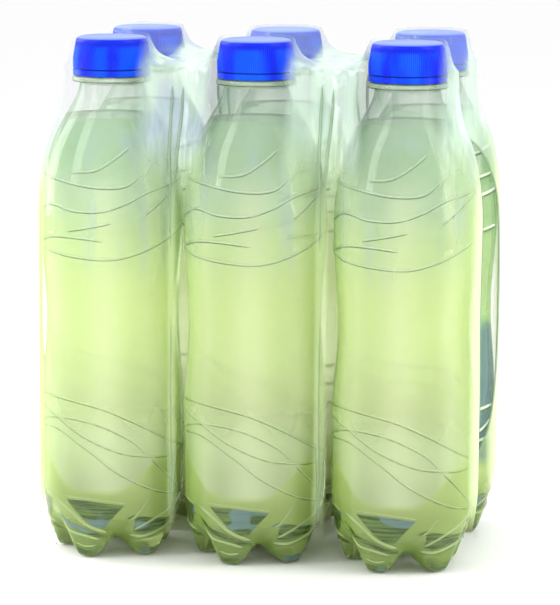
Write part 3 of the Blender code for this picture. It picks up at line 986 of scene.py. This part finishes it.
@dataclass
class Embossing:
    """The crisp raised beads of one bottle's embossed lines as one piece, and dark lines of painted
    shadow under them as another.
    """

    place: Place
    form: BottleForm
    finish: bpy.types.Material
    shadow_finish: bpy.types.Material
    end_highlight_finish: bpy.types.Material
    steps: int = 14
    stand: float = 0.1 * MM
    # where the dark lines of painted shadow lie under the beads, and how slim they are
    shadow_drop: float = 0.58 * MM
    shadow_share: float = 0.5
    end_shadow_drop: float = 0.928 * MM
    end_shadow_share: float = 0.8
    section: tuple = ((-1.0, -0.25), (-0.6, 0.62), (0.0, 1.0), (0.6, 0.62), (1.0, -0.25))

    def bead(self, rib: Rib, drop: float = 0.0, scale: float = 1.0) -> np.ndarray:
        """Rows of points along a bead, which may lie lower and be slimmer than the rib."""
        route = rib.route(self.form.body, self.steps)
        route[:, 1] -= drop
        taper = tapered(len(route), 4.0, 0.02)
        rows = []
        for u, v, rise in swept(route, rib.bead_half * scale, taper, self.section):
            radius = self.form.radius_at(v) + rise * rib.bead_rise * scale + self.stand
            turn = self.place.rib_turn + self.place.half + u / self.form.body
            rows.append(np.stack([self.place.axis.x + radius * np.cos(turn),
                                  self.place.axis.y + radius * np.sin(turn),
                                  self.place.base + v], axis=-1))
        return np.stack(rows, axis=1)

    def build(self) -> None:
        """Build every bead, the dark line of painted shadow under it and the end lines, and hang
        them on.
        """
        beads = Patchwork()
        # the dark lines of painted shadow under the beads
        edges = Patchwork()
        ends = Patchwork()
        for rib in self.form.ribs:
            beads.add(self.bead(rib))
            edges.add(self.bead(rib, self.shadow_drop, self.shadow_share))
        works = [(beads, "embossing", self.finish)]
        if self.place.half:
            for rib in self.form.side_ribs:
                # end ribs in a pale painted highlight tone
                ends.add(self.bead(rib))
                edges.add(self.bead(rib, self.end_shadow_drop, self.end_shadow_share))
            works.append((ends, "end_embossing", self.end_highlight_finish))
        works.append((edges, "embossing_painted_shadow", self.shadow_finish))
        for work, name, finish in works:
            piece = work.build(f"{name}_{self.place.number}", finish)
            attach(piece, "root")


@dataclass(frozen=True)
class FootLine:
    """A moulded ridge over a foot: its points are (degrees from the arch, millimetres)."""

    points: tuple[tuple[float, float], ...]
    half: float = 0.5 * MM
    rise: float = 0.45 * MM


@dataclass(frozen=True)
class FootPanel:
    """A panel of a foot, a dark sheet of painted shade laid on the wall, between an upper and a
    lower edge.
    """

    upper: tuple[tuple[float, float], ...]
    lower: tuple[tuple[float, float], ...]


# The feet to the left and to the right of an arch.
LEFT_FOOT_LINES = (
    FootLine(((-62, 22.6), (-45, 18.5), (-33, 14.4), (-23, 12.1), (-13, 10.4)), 0.75 * MM),
    FootLine(((-60, 12.8), (-50, 10.2), (-42, 9.4), (-32, 8.8), (-20, 7.6)), 0.6 * MM),
    FootLine(((-50, 24.4), (-28, 24.3), (-9, 23.4), (4, 22.4)), 0.3 * MM, 0.25 * MM),
    FootLine(((-44, 5.2), (-34, 4.2), (-24, 5.0)), 0.35 * MM, 0.3 * MM),
)
LEFT_FOOT_PANELS = (
    FootPanel(((-48, 23.2), (-28, 23.4), (-9, 22.5), (3, 21.7)),
              ((-46, 22.2), (-36, 17.6), (-24, 13.2), (-14, 12.8))),
    FootPanel(((-60, 17.8), (-50, 14.4), (-38, 12.9), (-26, 10.7), (-12, 8.8)),
              ((-60, 15.8), (-50, 12.4), (-38, 11.0), (-26, 9.3), (-12, 7.6))),
    FootPanel(((-46, 3.6), (-38, 2.8), (-28, 2.8), (-22, 3.4)),
              ((-44, 1.2), (-38, 0.7), (-30, 0.7), (-24, 1.2))),
)
RIGHT_FOOT_LINES = (
    FootLine(((62, 22.0), (46, 17.8), (34, 15.9), (22, 13.4), (13, 11.0)), 0.6 * MM),
    FootLine(((64, 11.2), (47, 10.8), (34, 9.4), (22, 8.4), (11, 8.6)), 0.6 * MM),
    FootLine(((24, 24.2), (17, 19.3), (10, 15.5)), 0.35 * MM, 0.35 * MM),
)
RIGHT_FOOT_PANELS = (
    FootPanel(((53, 14.2), (34, 15.3), (18, 16.9), (13, 15.8)),
              ((53, 12.4), (34, 10.8), (21, 9.9), (13, 10.4))),
    FootPanel(((23, 22.6), (15, 18.4), (7, 16.6)), ((20, 20.8), (13, 17.0), (7, 15.6))),
    FootPanel(((46, 3.6), (38, 2.8), (28, 2.8), (22, 3.4)),
              ((44, 1.2), (38, 0.7), (30, 0.7), (24, 1.2))),
)


@dataclass
class FootTrim:
    """The ridges moulded over a bottle's five feet, and dark panels of painted shade laid on the
    feet, as two pieces.
    """

    place: Place
    form: BottleForm
    crease: bpy.types.Material
    panel: bpy.types.Material
    steps: int = 9
    panel_rows: int = 6
    stand: float = 0.07 * MM
    section: tuple = ((-1.0, -0.2), (-0.55, 0.65), (0.0, 1.0), (0.55, 0.65), (1.0, -0.2))

    def on_wall(self, turns: np.ndarray, heights: np.ndarray, stand: np.ndarray) -> np.ndarray:
        """Places on the outer wall of the feet, by direction and height."""
        low, _ = self.form.pad_share
        rings = self.form.base(turns.ravel() - self.place.foot_turn)
        first = int(low * self.form.base_rings)
        found = np.empty((turns.size, 3))
        for index, (turn, height) in enumerate(zip(turns.ravel(), heights.ravel())):
            path = rings[first:, index]
            held = max(height, path[0, 1] + 0.2 * MM)
            radius = float(np.interp(held, path[:, 1], path[:, 0])) + stand.ravel()[index]
            found[index] = (self.place.axis.x + radius * math.cos(turn),
                            self.place.axis.y + radius * math.sin(turn), self.place.base + held)
        return found.reshape(*turns.shape, 3)

    def arch(self, foot: int) -> float:
        """Direction of the arch beside a foot; feet 0 and 1 stand at either side of arch 0."""
        step = 2.0 * math.pi / self.form.foot_turns
        return self.place.foot_turn + step / 2.0 + step * foot

    def ridge(self, line: FootLine, arch: float) -> np.ndarray:
        """Rows of points along a ridge."""
        route = Rib(line.points).route(self.form.body, self.steps)
        taper = tapered(len(route), 3.0, 0.05)
        rows = [self.on_wall(arch + u / self.form.body, v, self.stand + rise * line.rise)
                for u, v, rise in swept(route, line.half, taper, self.section)]
        return np.stack(rows, axis=1)

    def sunk(self, panel: FootPanel, arch: float) -> np.ndarray:
        """Rows of points over a panel."""
        upper = Rib(panel.upper).route(self.form.body, self.steps)
        lower = Rib(panel.lower).route(self.form.body, self.steps)
        count = min(len(upper), len(lower))
        picks = np.linspace(0.0, 1.0, count)
        edges = []
        for route in (upper, lower):
            share = np.linspace(0.0, 1.0, len(route))
            edges.append(np.stack([np.interp(picks, share, route[:, k]) for k in (0, 1)], axis=-1))
        mixed = np.linspace(0.0, 1.0, self.panel_rows)[None, :, None]
        points = edges[0][:, None, :] * (1.0 - mixed) + edges[1][:, None, :] * mixed
        turns = arch + points[..., 0] / self.form.body
        return self.on_wall(turns, points[..., 1], np.full(turns.shape, self.stand))

    def build(self) -> None:
        """Build both pieces and hang them on the frame."""
        ridges = Patchwork()
        panels = Patchwork()
        for foot in range(self.form.foot_turns):
            mirrored = foot in (1, 2)
            arch = self.arch(foot - 1 if mirrored else foot)
            for line in RIGHT_FOOT_LINES if mirrored else LEFT_FOOT_LINES:
                ridges.add(self.ridge(line, arch))
            for panel in RIGHT_FOOT_PANELS if mirrored else LEFT_FOOT_PANELS:
                panels.add(self.sunk(panel, arch))
        for patchwork, name, finish in ((ridges, "foot_ridges", self.crease),
                                        (panels, "foot_painted_shade_panels", self.panel)):
            piece = patchwork.build(f"{name}_{self.place.number}", finish)
            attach(piece, "root")


@dataclass
class Drink:
    """The water in one bottle, reaching just into its wall, with a slight meniscus."""

    place: Place
    form: BottleForm
    finish: bpy.types.Material
    lid_finish: bpy.types.Material
    level: float = 171.0 * MM
    inset: float = 0.15 * MM
    meniscus: float = 0.5 * MM

    def build(self) -> bpy.types.Object:
        """Build the water and hang it on the frame."""
        rings = self.form.wall(self.place.rib_turn, self.place.foot_turn, top=self.level)
        edge = rings[-1, :, 0].mean()
        surface = []
        for share in (0.97, 0.9, 0.75, 0.5, 0.25, 0.02):
            rise = self.meniscus * math.exp(-(1.0 - share) * edge / (1.2 * MM))
            surface.append((edge * share, rings[-1, 0, 1] - self.meniscus + rise))
        lid = np.repeat(np.array(surface)[:, None, :], self.form.sides, axis=1)
        points = self.place.points(np.concatenate([rings, lid]), self.inset)
        quads = grid_quads(*points.shape[:2], wrap=True)
        water = make_mesh(f"drink_{self.place.number}", points, quads, self.finish)
        water.data.materials.append(self.lid_finish)
        lid_start = (len(rings) - 1) * self.form.sides
        for face in water.data.polygons:
            face.material_index = int(face.index >= lid_start)
        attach(water, "root")
        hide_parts(f"water_{self.place.number}")
        return water


@dataclass
class Cap:
    """A ribbed screw cap with a tamper band under it."""

    place: Place
    finish: bpy.types.Material
    radius: float = 15.0 * MM
    low: float = 186.3 * MM
    band_top: float = 188.9 * MM
    shoulder: float = 194.5 * MM
    top: float = 201.3 * MM
    rim_radius: float = 13.9 * MM
    flat_radius: float = 11.4 * MM
    ribs: int = 120
    rib_depth: float = 0.28 * MM
    groove: float = 0.45 * MM
    dish: float = 0.35 * MM
    round_drop: float = 1.9 * MM
    inner_radius: float = 13.3 * MM
    thickness: float = 1.7 * MM
    centre_radius: float = 0.05 * MM
    knurl: tuple = (0.0, 0.15, 1.0, 0.15)

    def profile(self) -> list[tuple[float, float, float]]:
        """Radius, height and share of rib depth, from the middle of the top down and in."""
        top, edge = self.top, self.rim_radius
        rows = [(self.centre_radius, top - self.dish, 0.0), (6.0 * MM, top - self.dish, 0.0),
                (self.flat_radius - 1.0 * MM, top - 0.3 * MM, 0.0),
                (self.flat_radius - 0.3 * MM, top, 0.0)]
        for angle in np.linspace(0.0, 90.0, 7)[1:]:
            turn = math.radians(angle)
            rows.append((self.flat_radius + (edge - self.flat_radius) * math.sin(turn),
                         top - self.round_drop * (1.0 - math.cos(turn)), 0.0))
        rows += [(edge + 0.10 * MM, top - 2.3 * MM, 1.0), (edge + 0.5 * MM, 196.5 * MM, 1.0),
                 (self.radius, self.shoulder - 1.5 * MM, 1.0),
                 (self.radius, self.band_top + 0.5 * MM, 1.0),
                 (self.radius, self.band_top + 0.35 * MM, 0.3),
                 (self.radius - self.groove, self.band_top + 0.2 * MM, 0.0),
                 (self.radius - self.groove, self.band_top - 0.1 * MM, 0.0),
                 (self.radius, self.band_top - 0.25 * MM, 0.0),
                 (self.radius, self.low + 0.3 * MM, 0.0), (self.radius - 0.3 * MM, self.low, 0.0),
                 (self.inner_radius, self.low, 0.0),
                 (self.inner_radius, top - self.thickness, 0.0),
                 (self.centre_radius, top - self.thickness, 0.0)]
        return rows

    def build(self) -> bpy.types.Object:
        """Build the cap and hang it on the frame."""
        cut = np.tile(np.array(self.knurl), self.ribs) * self.rib_depth
        rows = np.array(self.profile())
        radius = rows[:, 0][:, None] - rows[:, 2][:, None] * cut[None, :]
        height = np.repeat(rows[:, 1][:, None], len(cut), axis=1)
        points = self.place.points(np.stack([radius, height], axis=-1))
        quads = grid_quads(*points.shape[:2], wrap=True)
        cap = make_mesh(f"screw_cap_{self.place.number}", points, quads, self.finish)
        cap.data.set_sharp_from_angle(angle=math.radians(42.0))
        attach(cap, "root")
        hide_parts(f"cap_{self.place.number}")
        return cap


# Folds between two bottles: (offset across, height) pairs in millimetres.
FOLDS = (
    ((-1.6, 186.0), (-2.0, 174.0), (-1.4, 158.0), (-0.6, 140.0), (-0.4, 124.0)),
    ((2.6, 184.0), (2.0, 168.0), (1.0, 148.0)),
    ((-0.2, 96.0), (-0.4, 70.0), (-0.2, 44.0), (0.0, 22.0)),
    ((-1.8, 50.0), (-1.0, 36.0), (-0.3, 20.0)),
    ((1.8, 48.0), (1.0, 34.0), (0.3, 20.0)),
)


@dataclass
class FilmSleeve:
    """The shrink film round all six bottles, open in an oval at each short end."""

    places: list[Place]
    form: BottleForm
    finish: bpy.types.Material
    fold_finish: bpy.types.Material
    lift: float = 0.7 * MM
    standoff: float = 1.2 * MM
    top: float = 203.0 * MM
    tent: tuple[float, float] = (166.0 * MM, 185.0 * MM)
    tent_radius: float = 16.3 * MM
    tent_slack: float = 1.0 * MM
    cap_radius: float = 16.0 * MM
    crest_radius: float = 14.6 * MM
    corner_radius: float = 23.5 * MM
    body_spread: float = 9.0 * MM
    saddle_spread: float = 18.2 * MM
    crest_spread: float = 2.0 * MM
    saddle_height: float = 191.0 * MM
    spread_start: float = 140.0 * MM
    core: tuple[float, float] = (23.5 * MM, 8.0 * MM)
    core_heights: tuple[float, float] = (6.0 * MM, 98.0 * MM)
    arch_height: float = 11.0 * MM
    arch_reach: tuple[float, float] = (28.6 * MM, 38.0 * MM)
    opening: tuple[float, float] = (28.0 * MM, 66.0 * MM)
    rim_radius: float = 0.45 * MM
    fold_radius: float = 0.22 * MM
    fold_swell: float = 0.34 * MM
    rim_sides: int = 8
    spine: float = 98.0 * MM
    turns: int = 236
    stations: int = 150
    end_stations: int = 46
    fold_pitch: float = 3.4 * MM
    fold_depth: float = 0.2 * MM
    fan_heights: tuple[float, float] = (150.0 * MM, 178.0 * MM)
    fan_reach: tuple[float, float] = (12.0 * MM, 20.0 * MM)
    line_reach: tuple[float, float] = (17.0 * MM, 23.0 * MM)
    gather_heights: tuple[float, float] = (8.0 * MM, 40.0 * MM)
    swell_heights: tuple[float, float] = (110.0 * MM, 150.0 * MM)
    crest_heights: tuple[float, float] = (194.0 * MM, 202.0 * MM)
    fold_points: int = 28
    fold_rays: int = 120
    search_halvings: int = 16
    search_reach: float = 150.0 * MM
    search_step: float = 2.0 * MM

    @property
    def columns(self) -> list[float]:
        """The X of the bottles' axes, column by column."""
        return sorted({round(place.axis.x, 5) for place in self.places})

    @property
    def row(self) -> float:
        """The Y of the back row's axes."""
        return max(place.axis.y for place in self.places)

    def radius_table(self) -> tuple[np.ndarray, np.ndarray]:
        """The film's distance from a bottle's axis against height."""
        shoulder = bezier(self.form.shoulder, np.linspace(0.0, 1.0, 200))
        foot = bezier(self.form.foot_curve, np.linspace(0.0, 1.0, 80))
        heights = np.linspace(0.0, self.top, 500)
        local = heights - self.lift
        radius = np.interp(local, foot[:, 1], foot[:, 0]) + self.standoff
        radius = np.maximum(radius, self.corner_radius)
        radius = np.where(local > self.form.base_join, self.form.body + self.standoff, radius)
        over = np.interp(local, shoulder[:, 1], shoulder[:, 0]) + self.standoff
        radius = np.where(local > self.form.shoulder[0][1], over, radius)
        low, high = self.tent
        t = np.clip((local - low) / (high - low), 0.0, 1.0)
        start = np.interp(low, shoulder[:, 1], shoulder[:, 0]) + self.standoff
        tent = start + (self.tent_radius - start) * t - self.tent_slack * np.sin(math.pi * t)
        radius = np.where(local > low, tent, radius)
        crest = smooth(*self.crest_heights, local) ** 4
        cap = self.cap_radius - (self.cap_radius - self.crest_radius) * crest
        return heights, np.where(local > high, cap, radius)

    def field(self, points: np.ndarray, table: tuple[np.ndarray, np.ndarray]) -> np.ndarray:
        """Positive inside the film and negative outside, for an array of places."""
        x, y, z = points[..., 0], points[..., 1], points[..., 2]
        reach = np.interp(z, *table)
        rise = smooth(self.spread_start, self.saddle_height, z)
        spread = self.body_spread + (self.saddle_spread - self.body_spread) * rise
        above = np.clip((z - self.saddle_height) / (self.top - self.saddle_height), 0.0, 1.0)
        spread = spread + (self.crest_spread - self.saddle_spread) * above
        total = np.zeros(x.shape)
        for place in self.places:
            total += np.exp((reach - np.hypot(x - place.axis.x, y - place.axis.y)) / spread)
        side = spread * np.log(total)
        columns = self.columns
        over_x = np.maximum(np.maximum(columns[0] - x, x - columns[-1]), 0.0)
        over_y = np.maximum(np.abs(y) - self.row, 0.0)
        core = self.core[0] + (self.core[1] - self.core[0]) * smooth(*self.core_heights, z)
        block = np.where(z < self.spine, core - np.hypot(over_x, over_y), -1.0)
        side = np.maximum(side, block)
        near_x = np.min([np.abs(x - column) for column in columns], axis=0)
        arch = self.arch_height * smooth(*self.arch_reach, np.hypot(near_x, over_y))
        arch = np.where((x > columns[0]) & (x < columns[-1]), arch, 0.0)
        return np.minimum(np.minimum(side, self.top - z), z - arch)

    def hit(self, centres: np.ndarray, directions: np.ndarray,
            table: tuple[np.ndarray, np.ndarray]) -> np.ndarray:
        """Where rays from points of the spine leave the film."""
        distance = np.full(centres.shape[:-1], self.search_reach)
        done = np.zeros(distance.shape, dtype=bool)
        while not done.all():
            inside = self.field(centres + directions * distance[..., None], table) >= 0.0
            done |= inside | (distance <= self.search_step)
            distance = np.where(done, distance, distance - self.search_step)
        low, high = distance, distance + self.search_step
        for _ in range(self.search_halvings):
            middle = (low + high) / 2.0
            inside = self.field(centres + directions * middle[..., None], table) >= 0.0
            low = np.where(inside, middle, low)
            high = np.where(inside, high, middle)
        return centres + directions * low[..., None]

    def end(self, side: int, angles: np.ndarray,
            table: tuple[np.ndarray, np.ndarray]) -> np.ndarray:
        """Points over one short end, from the last axes to the opening's edge."""
        axis_x = max(place.axis.x * side for place in self.places) * side
        swings = np.linspace(0.0, math.pi / 2.0, 181)[:-1]
        width, height = self.opening
        edge = 1.0 / np.hypot(np.cos(angles) / width, np.sin(angles) / height)

        def rays(swing: np.ndarray) -> np.ndarray:
            """Directions that swing from the cross-section out to the end."""
            turn = angles[:, None]
            return np.stack([side * np.sin(swing), np.cos(swing) * np.cos(turn),
                             np.cos(swing) * np.sin(turn)], axis=-1)

        coarse = rays(np.repeat(swings[None, :], len(angles), axis=0))
        centre = np.broadcast_to(np.array([axis_x, 0.0, self.spine]), coarse.shape)
        points = self.hit(centre, coarse, table)
        away = np.hypot(points[..., 1], points[..., 2] - self.spine)
        last = np.empty(len(angles))
        for index, row in enumerate(away):
            first = int(np.argmax(row < edge[index]))
            share = (row[first - 1] - edge[index]) / max(row[first - 1] - row[first], 1e-9)
            last[index] = swings[first - 1] + share * (swings[first] - swings[first - 1])
        share = np.linspace(0.0, 1.0, self.end_stations + 1)[1:]
        fine = rays(last[:, None] * share[None, :])
        centre = np.broadcast_to(np.array([axis_x, 0.0, self.spine]), fine.shape)
        return self.hit(centre, fine, table)

    def pleat(self, points: np.ndarray) -> np.ndarray:
        """Gather the film into fine folds where it bridges from bottle to bottle."""
        x, y, z = points[..., 0], points[..., 1], points[..., 2]
        columns = np.array(self.columns)
        near = columns[np.argmin(np.abs(x[..., None] - columns), axis=-1)]
        away = np.abs(x - near)
        row = np.where(y < 0.0, -1.0, 1.0) * self.row
        turn = np.arctan2(y - row, x - near)
        high = smooth(*self.fan_heights, z)
        fans = np.sin(turn * 11.0 + 1.3 * np.sin(z * 45.0)) * high
        fans = fans * smooth(*self.fan_reach, away)
        lines = np.sin(x * 2.0 * math.pi / self.fold_pitch + 0.8 * np.sin(z * 35.0))
        lines = lines * (1.0 - high) * smooth(*self.line_reach, away)
        depth = self.fold_depth * (fans + lines) * smooth(*self.gather_heights, z)
        outward = np.stack([np.zeros_like(y), y, z - self.spine], axis=-1)
        outward /= np.linalg.norm(outward, axis=-1)[..., None]
        return points + outward * (depth - self.fold_depth)[..., None]

    def tube(self, route: np.ndarray, radius: np.ndarray, closed: bool) -> np.ndarray:
        """Rows of points round a route, for rims and folds."""
        if closed:
            ahead = np.roll(route, -1, axis=0) - np.roll(route, 1, axis=0)
        else:
            ahead = np.gradient(route, axis=0)
        ahead /= np.linalg.norm(ahead, axis=1)[:, None]
        outward = route - np.array([0.0, 0.0, self.spine])
        outward -= ahead * np.sum(outward * ahead, axis=1)[:, None]
        outward /= np.linalg.norm(outward, axis=1)[:, None]
        side = np.cross(ahead, outward)
        rows = []
        for angle in np.linspace(0.0, 2.0 * math.pi, self.rim_sides + 1)[:-1]:
            reach = outward * math.cos(angle) + side * math.sin(angle)
            rows.append(route + reach * radius[:, None])
        found = np.stack(rows, axis=1)
        return np.concatenate([found, found[:1]]) if closed else found

    def build_folds(self, points: np.ndarray, table: tuple[np.ndarray, np.ndarray]) -> None:
        """The rolled rims of the two openings and the tight folds between the bottles."""
        work = Patchwork()
        for ring in (points[0], points[-1]):
            work.add(self.tube(ring, np.full(len(ring), self.rim_radius), True), wrap=True)
        for groove in [(a + b) / 2.0 for a, b in zip(self.columns, self.columns[1:])]:
            for side in (-1.0, 1.0):
                for fold in FOLDS:
                    work.add(self.fold(fold, groove, side, table), wrap=True)
        folds = work.build("film_folds", self.fold_finish)
        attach(folds, "root")

    def fold(self, fold: tuple, groove: float, side: float,
             table: tuple[np.ndarray, np.ndarray]) -> np.ndarray:
        """Rows of points along one fold: (offset across, height) pairs in millimetres."""
        route = np.array(fold, dtype=float) * MM
        picks = np.linspace(0.0, 1.0, self.fold_points)
        share = np.linspace(0.0, 1.0, len(route))
        across = np.interp(picks, share, route[:, 0]) + groove
        height = np.interp(picks, share, route[:, 1])
        angles = np.linspace(-0.48, 0.48, self.fold_rays) * math.pi
        found = []
        for x, z in zip(across, height):
            rays = np.stack([np.zeros_like(angles), side * np.cos(angles), np.sin(angles)], axis=-1)
            centres = np.tile([x, 0.0, self.spine], (len(angles), 1))
            skin = self.hit(centres, rays, table)
            y = float(np.interp(z, skin[:, 2], skin[:, 1]))
            found.append((x, y, z))
        route = np.array(found)
        taper = np.clip(np.sin(math.pi * picks) * 3.0, 0.1, 1.0)
        high = smooth(*self.swell_heights, height)
        return self.tube(route, (self.fold_radius + self.fold_swell * high) * taper, False)

    def build(self) -> bpy.types.Object:
        """Build the sleeve and hang it on the frame."""
        table = self.radius_table()
        angles = np.linspace(0.0, 2.0 * math.pi, self.turns + 1)[:-1]
        xs = [place.axis.x for place in self.places]
        stations = np.linspace(min(xs), max(xs), self.stations)
        centres = np.zeros((len(angles), len(stations), 3))
        centres[..., 0] = stations[None, :]
        centres[..., 2] = self.spine
        direction = np.stack([np.zeros(len(angles)), np.cos(angles), np.sin(angles)], axis=-1)
        middle = self.hit(centres, np.repeat(direction[:, None, :], len(stations), axis=1), table)
        left = self.end(-1, angles, table)[:, ::-1]
        right = self.end(1, angles, table)
        points = self.pleat(np.concatenate([left, middle, right], axis=1))
        points = np.transpose(points, (1, 0, 2))
        self.build_folds(points, table)
        quads = grid_quads(*points.shape[:2], wrap=True)
        film = make_mesh("film_sleeve", points, quads, self.finish)
        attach(film, "root")
        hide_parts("film")
        return film


@dataclass
class PhotoCamera:
    """The camera at the photograph's angle, aimed so that the target falls where it does there."""

    target: Vector
    azimuth: float = PHOTO_AZIMUTH
    elevation: float = math.radians(9.43)
    roll: float = math.radians(0.24)
    distance: float = 1.1144
    focal_pixels: float = 2877.5
    target_pixel: tuple[float, float] = (255.4, 298.8)
    sensor: float = 36.0

    def build(self) -> bpy.types.Object:
        """Make the camera and set it as the scene's own."""
        sin_a, cos_a = math.sin(self.azimuth), math.cos(self.azimuth)
        sin_e, cos_e = math.sin(self.elevation), math.cos(self.elevation)
        back = Vector((sin_a * cos_e, -cos_a * cos_e, sin_e))
        level = Vector((cos_a, sin_a, 0.0))
        upward = back.cross(level)
        right = math.cos(self.roll) * level + math.sin(self.roll) * upward
        up = back.cross(right)
        offset_x = IMAGE_WIDTH / 2.0 - self.target_pixel[0]
        offset_y = self.target_pixel[1] - IMAGE_HEIGHT / 2.0
        look = -back * self.focal_pixels + right * offset_x + up * offset_y
        out = -look.normalized()
        side = (right - right.dot(out) * out).normalized()
        data = bpy.data.cameras.new("photo_camera")
        data.sensor_width = self.sensor
        data.lens = self.focal_pixels * self.sensor / IMAGE_HEIGHT
        data.clip_end = 20.0
        camera = bpy.data.objects.new("photo_camera", data)
        turn = Matrix((side, out.cross(side), out)).transposed().to_4x4()
        camera.matrix_world = Matrix.Translation(self.target + back * self.distance) @ turn
        bpy.context.collection.objects.link(camera)
        bpy.context.scene.camera = camera
        return camera


@dataclass
class Studio:
    """A plain pale floor, an even white surround and soft boxes that give the highlights."""

    azimuth: float = PHOTO_AZIMUTH
    floor_half: float = 6.0
    world_strength: float = 1.06
    flag_dark: float = 0.45
    flag_reach: tuple[float, float] = (0.72, 0.96)
    boxes: tuple = (("key", (-0.9, -0.7, 0.75), (0.35, 1.1), 7.0),
                    ("left_strip", (-0.5, 0.1, 0.4), (0.22, 0.8), 2.9),
                    ("right_strip", (0.5, -0.12, 0.4), (0.2, 0.8), 2.32))
    aim: tuple[float, float, float] = (0.0, 0.0, 0.1)

    def build(self) -> None:
        """Make the floor, the surround and the lights."""
        half = self.floor_half
        corners = np.array([(-half, -half, 0.0), (half, -half, 0.0), (half, half, 0.0),
                            (-half, half, 0.0)])
        floor = make_mesh("floor", corners, np.array([(0, 1, 2, 3)]), FLOOR.build())
        self.surround()
        for name, at, size, power in self.boxes:
            self.soft_box(name, at, size, power)

    def surround(self) -> None:
        """An even white surround with a darker flag at each side, out of the camera's view."""
        world = bpy.data.worlds.new("studio")
        world.use_nodes = True
        graph = Graph(world.node_tree)
        background = graph.tree.nodes["Background"]
        graph.feed(background.inputs["Strength"], self.world_strength)
        direction = Wire(graph, graph.node("ShaderNodeTexCoord").outputs["Generated"])
        across = (math.cos(self.azimuth), math.sin(self.azimuth), 0.0)
        sideways = graph.node("ShaderNodeVectorMath", {"operation": "DOT_PRODUCT"},
                              {0: direction, 1: across})
        size = Wire(graph, sideways.outputs["Value"]).maths("ABSOLUTE")
        graph.feed(background.inputs["Color"], size.ranged(*self.flag_reach, 1.0, self.flag_dark))
        bpy.context.scene.world = world

    def soft_box(self, name: str, at: tuple[float, float, float], size: tuple[float, float],
                 power: float) -> None:
        """A rectangular lamp aimed at the middle of the pack."""
        data = bpy.data.lights.new(name, "AREA")
        data.shape = "RECTANGLE"
        data.size, data.size_y = size
        data.energy = power
        lamp = bpy.data.objects.new(name, data)
        lamp.location = at
        lamp.visible_camera = False
        aim = Vector(self.aim) - Vector(at)
        lamp.rotation_euler = aim.to_track_quat("-Z", "Y").to_euler()
        bpy.context.collection.objects.link(lamp)


# How far each bottle is turned, in degrees, and where its feet and ribs start from.
FOOT_TURNS = (20.7, 21.0, 17.2, 38.0, 9.0, 52.0)
FOOT_START = -126.0
RIB_START = -99.0


def places() -> list[Place]:
    """Where each bottle stands, from the frame's caps and walls, and how it is turned."""
    found = []
    for number in range(1, BOTTLE_COUNT + 1):
        low, high = (Vector(corner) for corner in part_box(f"cap_{number}"))
        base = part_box(f"bottle_{number}")[0][2]
        foot = math.radians(FOOT_TURNS[number - 1] + FOOT_START)
        rib = math.radians(FOOT_TURNS[number - 1] + RIB_START)
        found.append(Place(number, (low + high) / 2.0, base, foot, rib))
    return found


def main() -> None:
    """Build the studio, the six bottles and the film."""
    logging.basicConfig(level=logging.INFO, format="%(message)s")
    spots = places()
    middle = spots[1]
    PhotoCamera(Vector((middle.axis.x, middle.axis.y, middle.base + AIM_HEIGHT))).build()
    Studio().build()
    form = BottleForm()
    drink_form = BottleForm(ribs=(), sides=120, body_rings=24, shoulder_rings=28)
    columns = tuple(place.axis.x for place in spots[:COLUMN_COUNT])
    row = max(place.axis.y for place in spots)
    glow = PaintedGlow(columns)
    plastic = ClearPlastic(Layout(columns, row), glow).build()
    neck = NeckPlastic().build()
    water = DrinkFinish(glow).build()
    level = WATER_LEVEL.build()
    ribs = RibFinish().build()
    rib_shadow = RIB_SHADOW.build()
    end_rib_highlight = END_RIB_HIGHLIGHT.build()
    crease = FOOT_CREASE.build()
    panel = FootPanelShade().build()
    cap = CapPlastic().build()
    for place in spots:
        Bottle(place, form, plastic, neck).build()
        Embossing(place, form, ribs, rib_shadow, end_rib_highlight).build()
        FootTrim(place, form, crease, panel).build()
        Drink(place, drink_form, water, level).build()
        Cap(place, cap).build()
        log.info("bottle %d with its drink and cap", place.number)
    FilmSleeve(spots, form, FilmFinish(columns).build(), FILM_FOLD.build()).build()
    log.info("film sleeve")
    bpy.context.scene.view_settings.view_transform = "Standard"


if __name__ == "__main__":
    main()
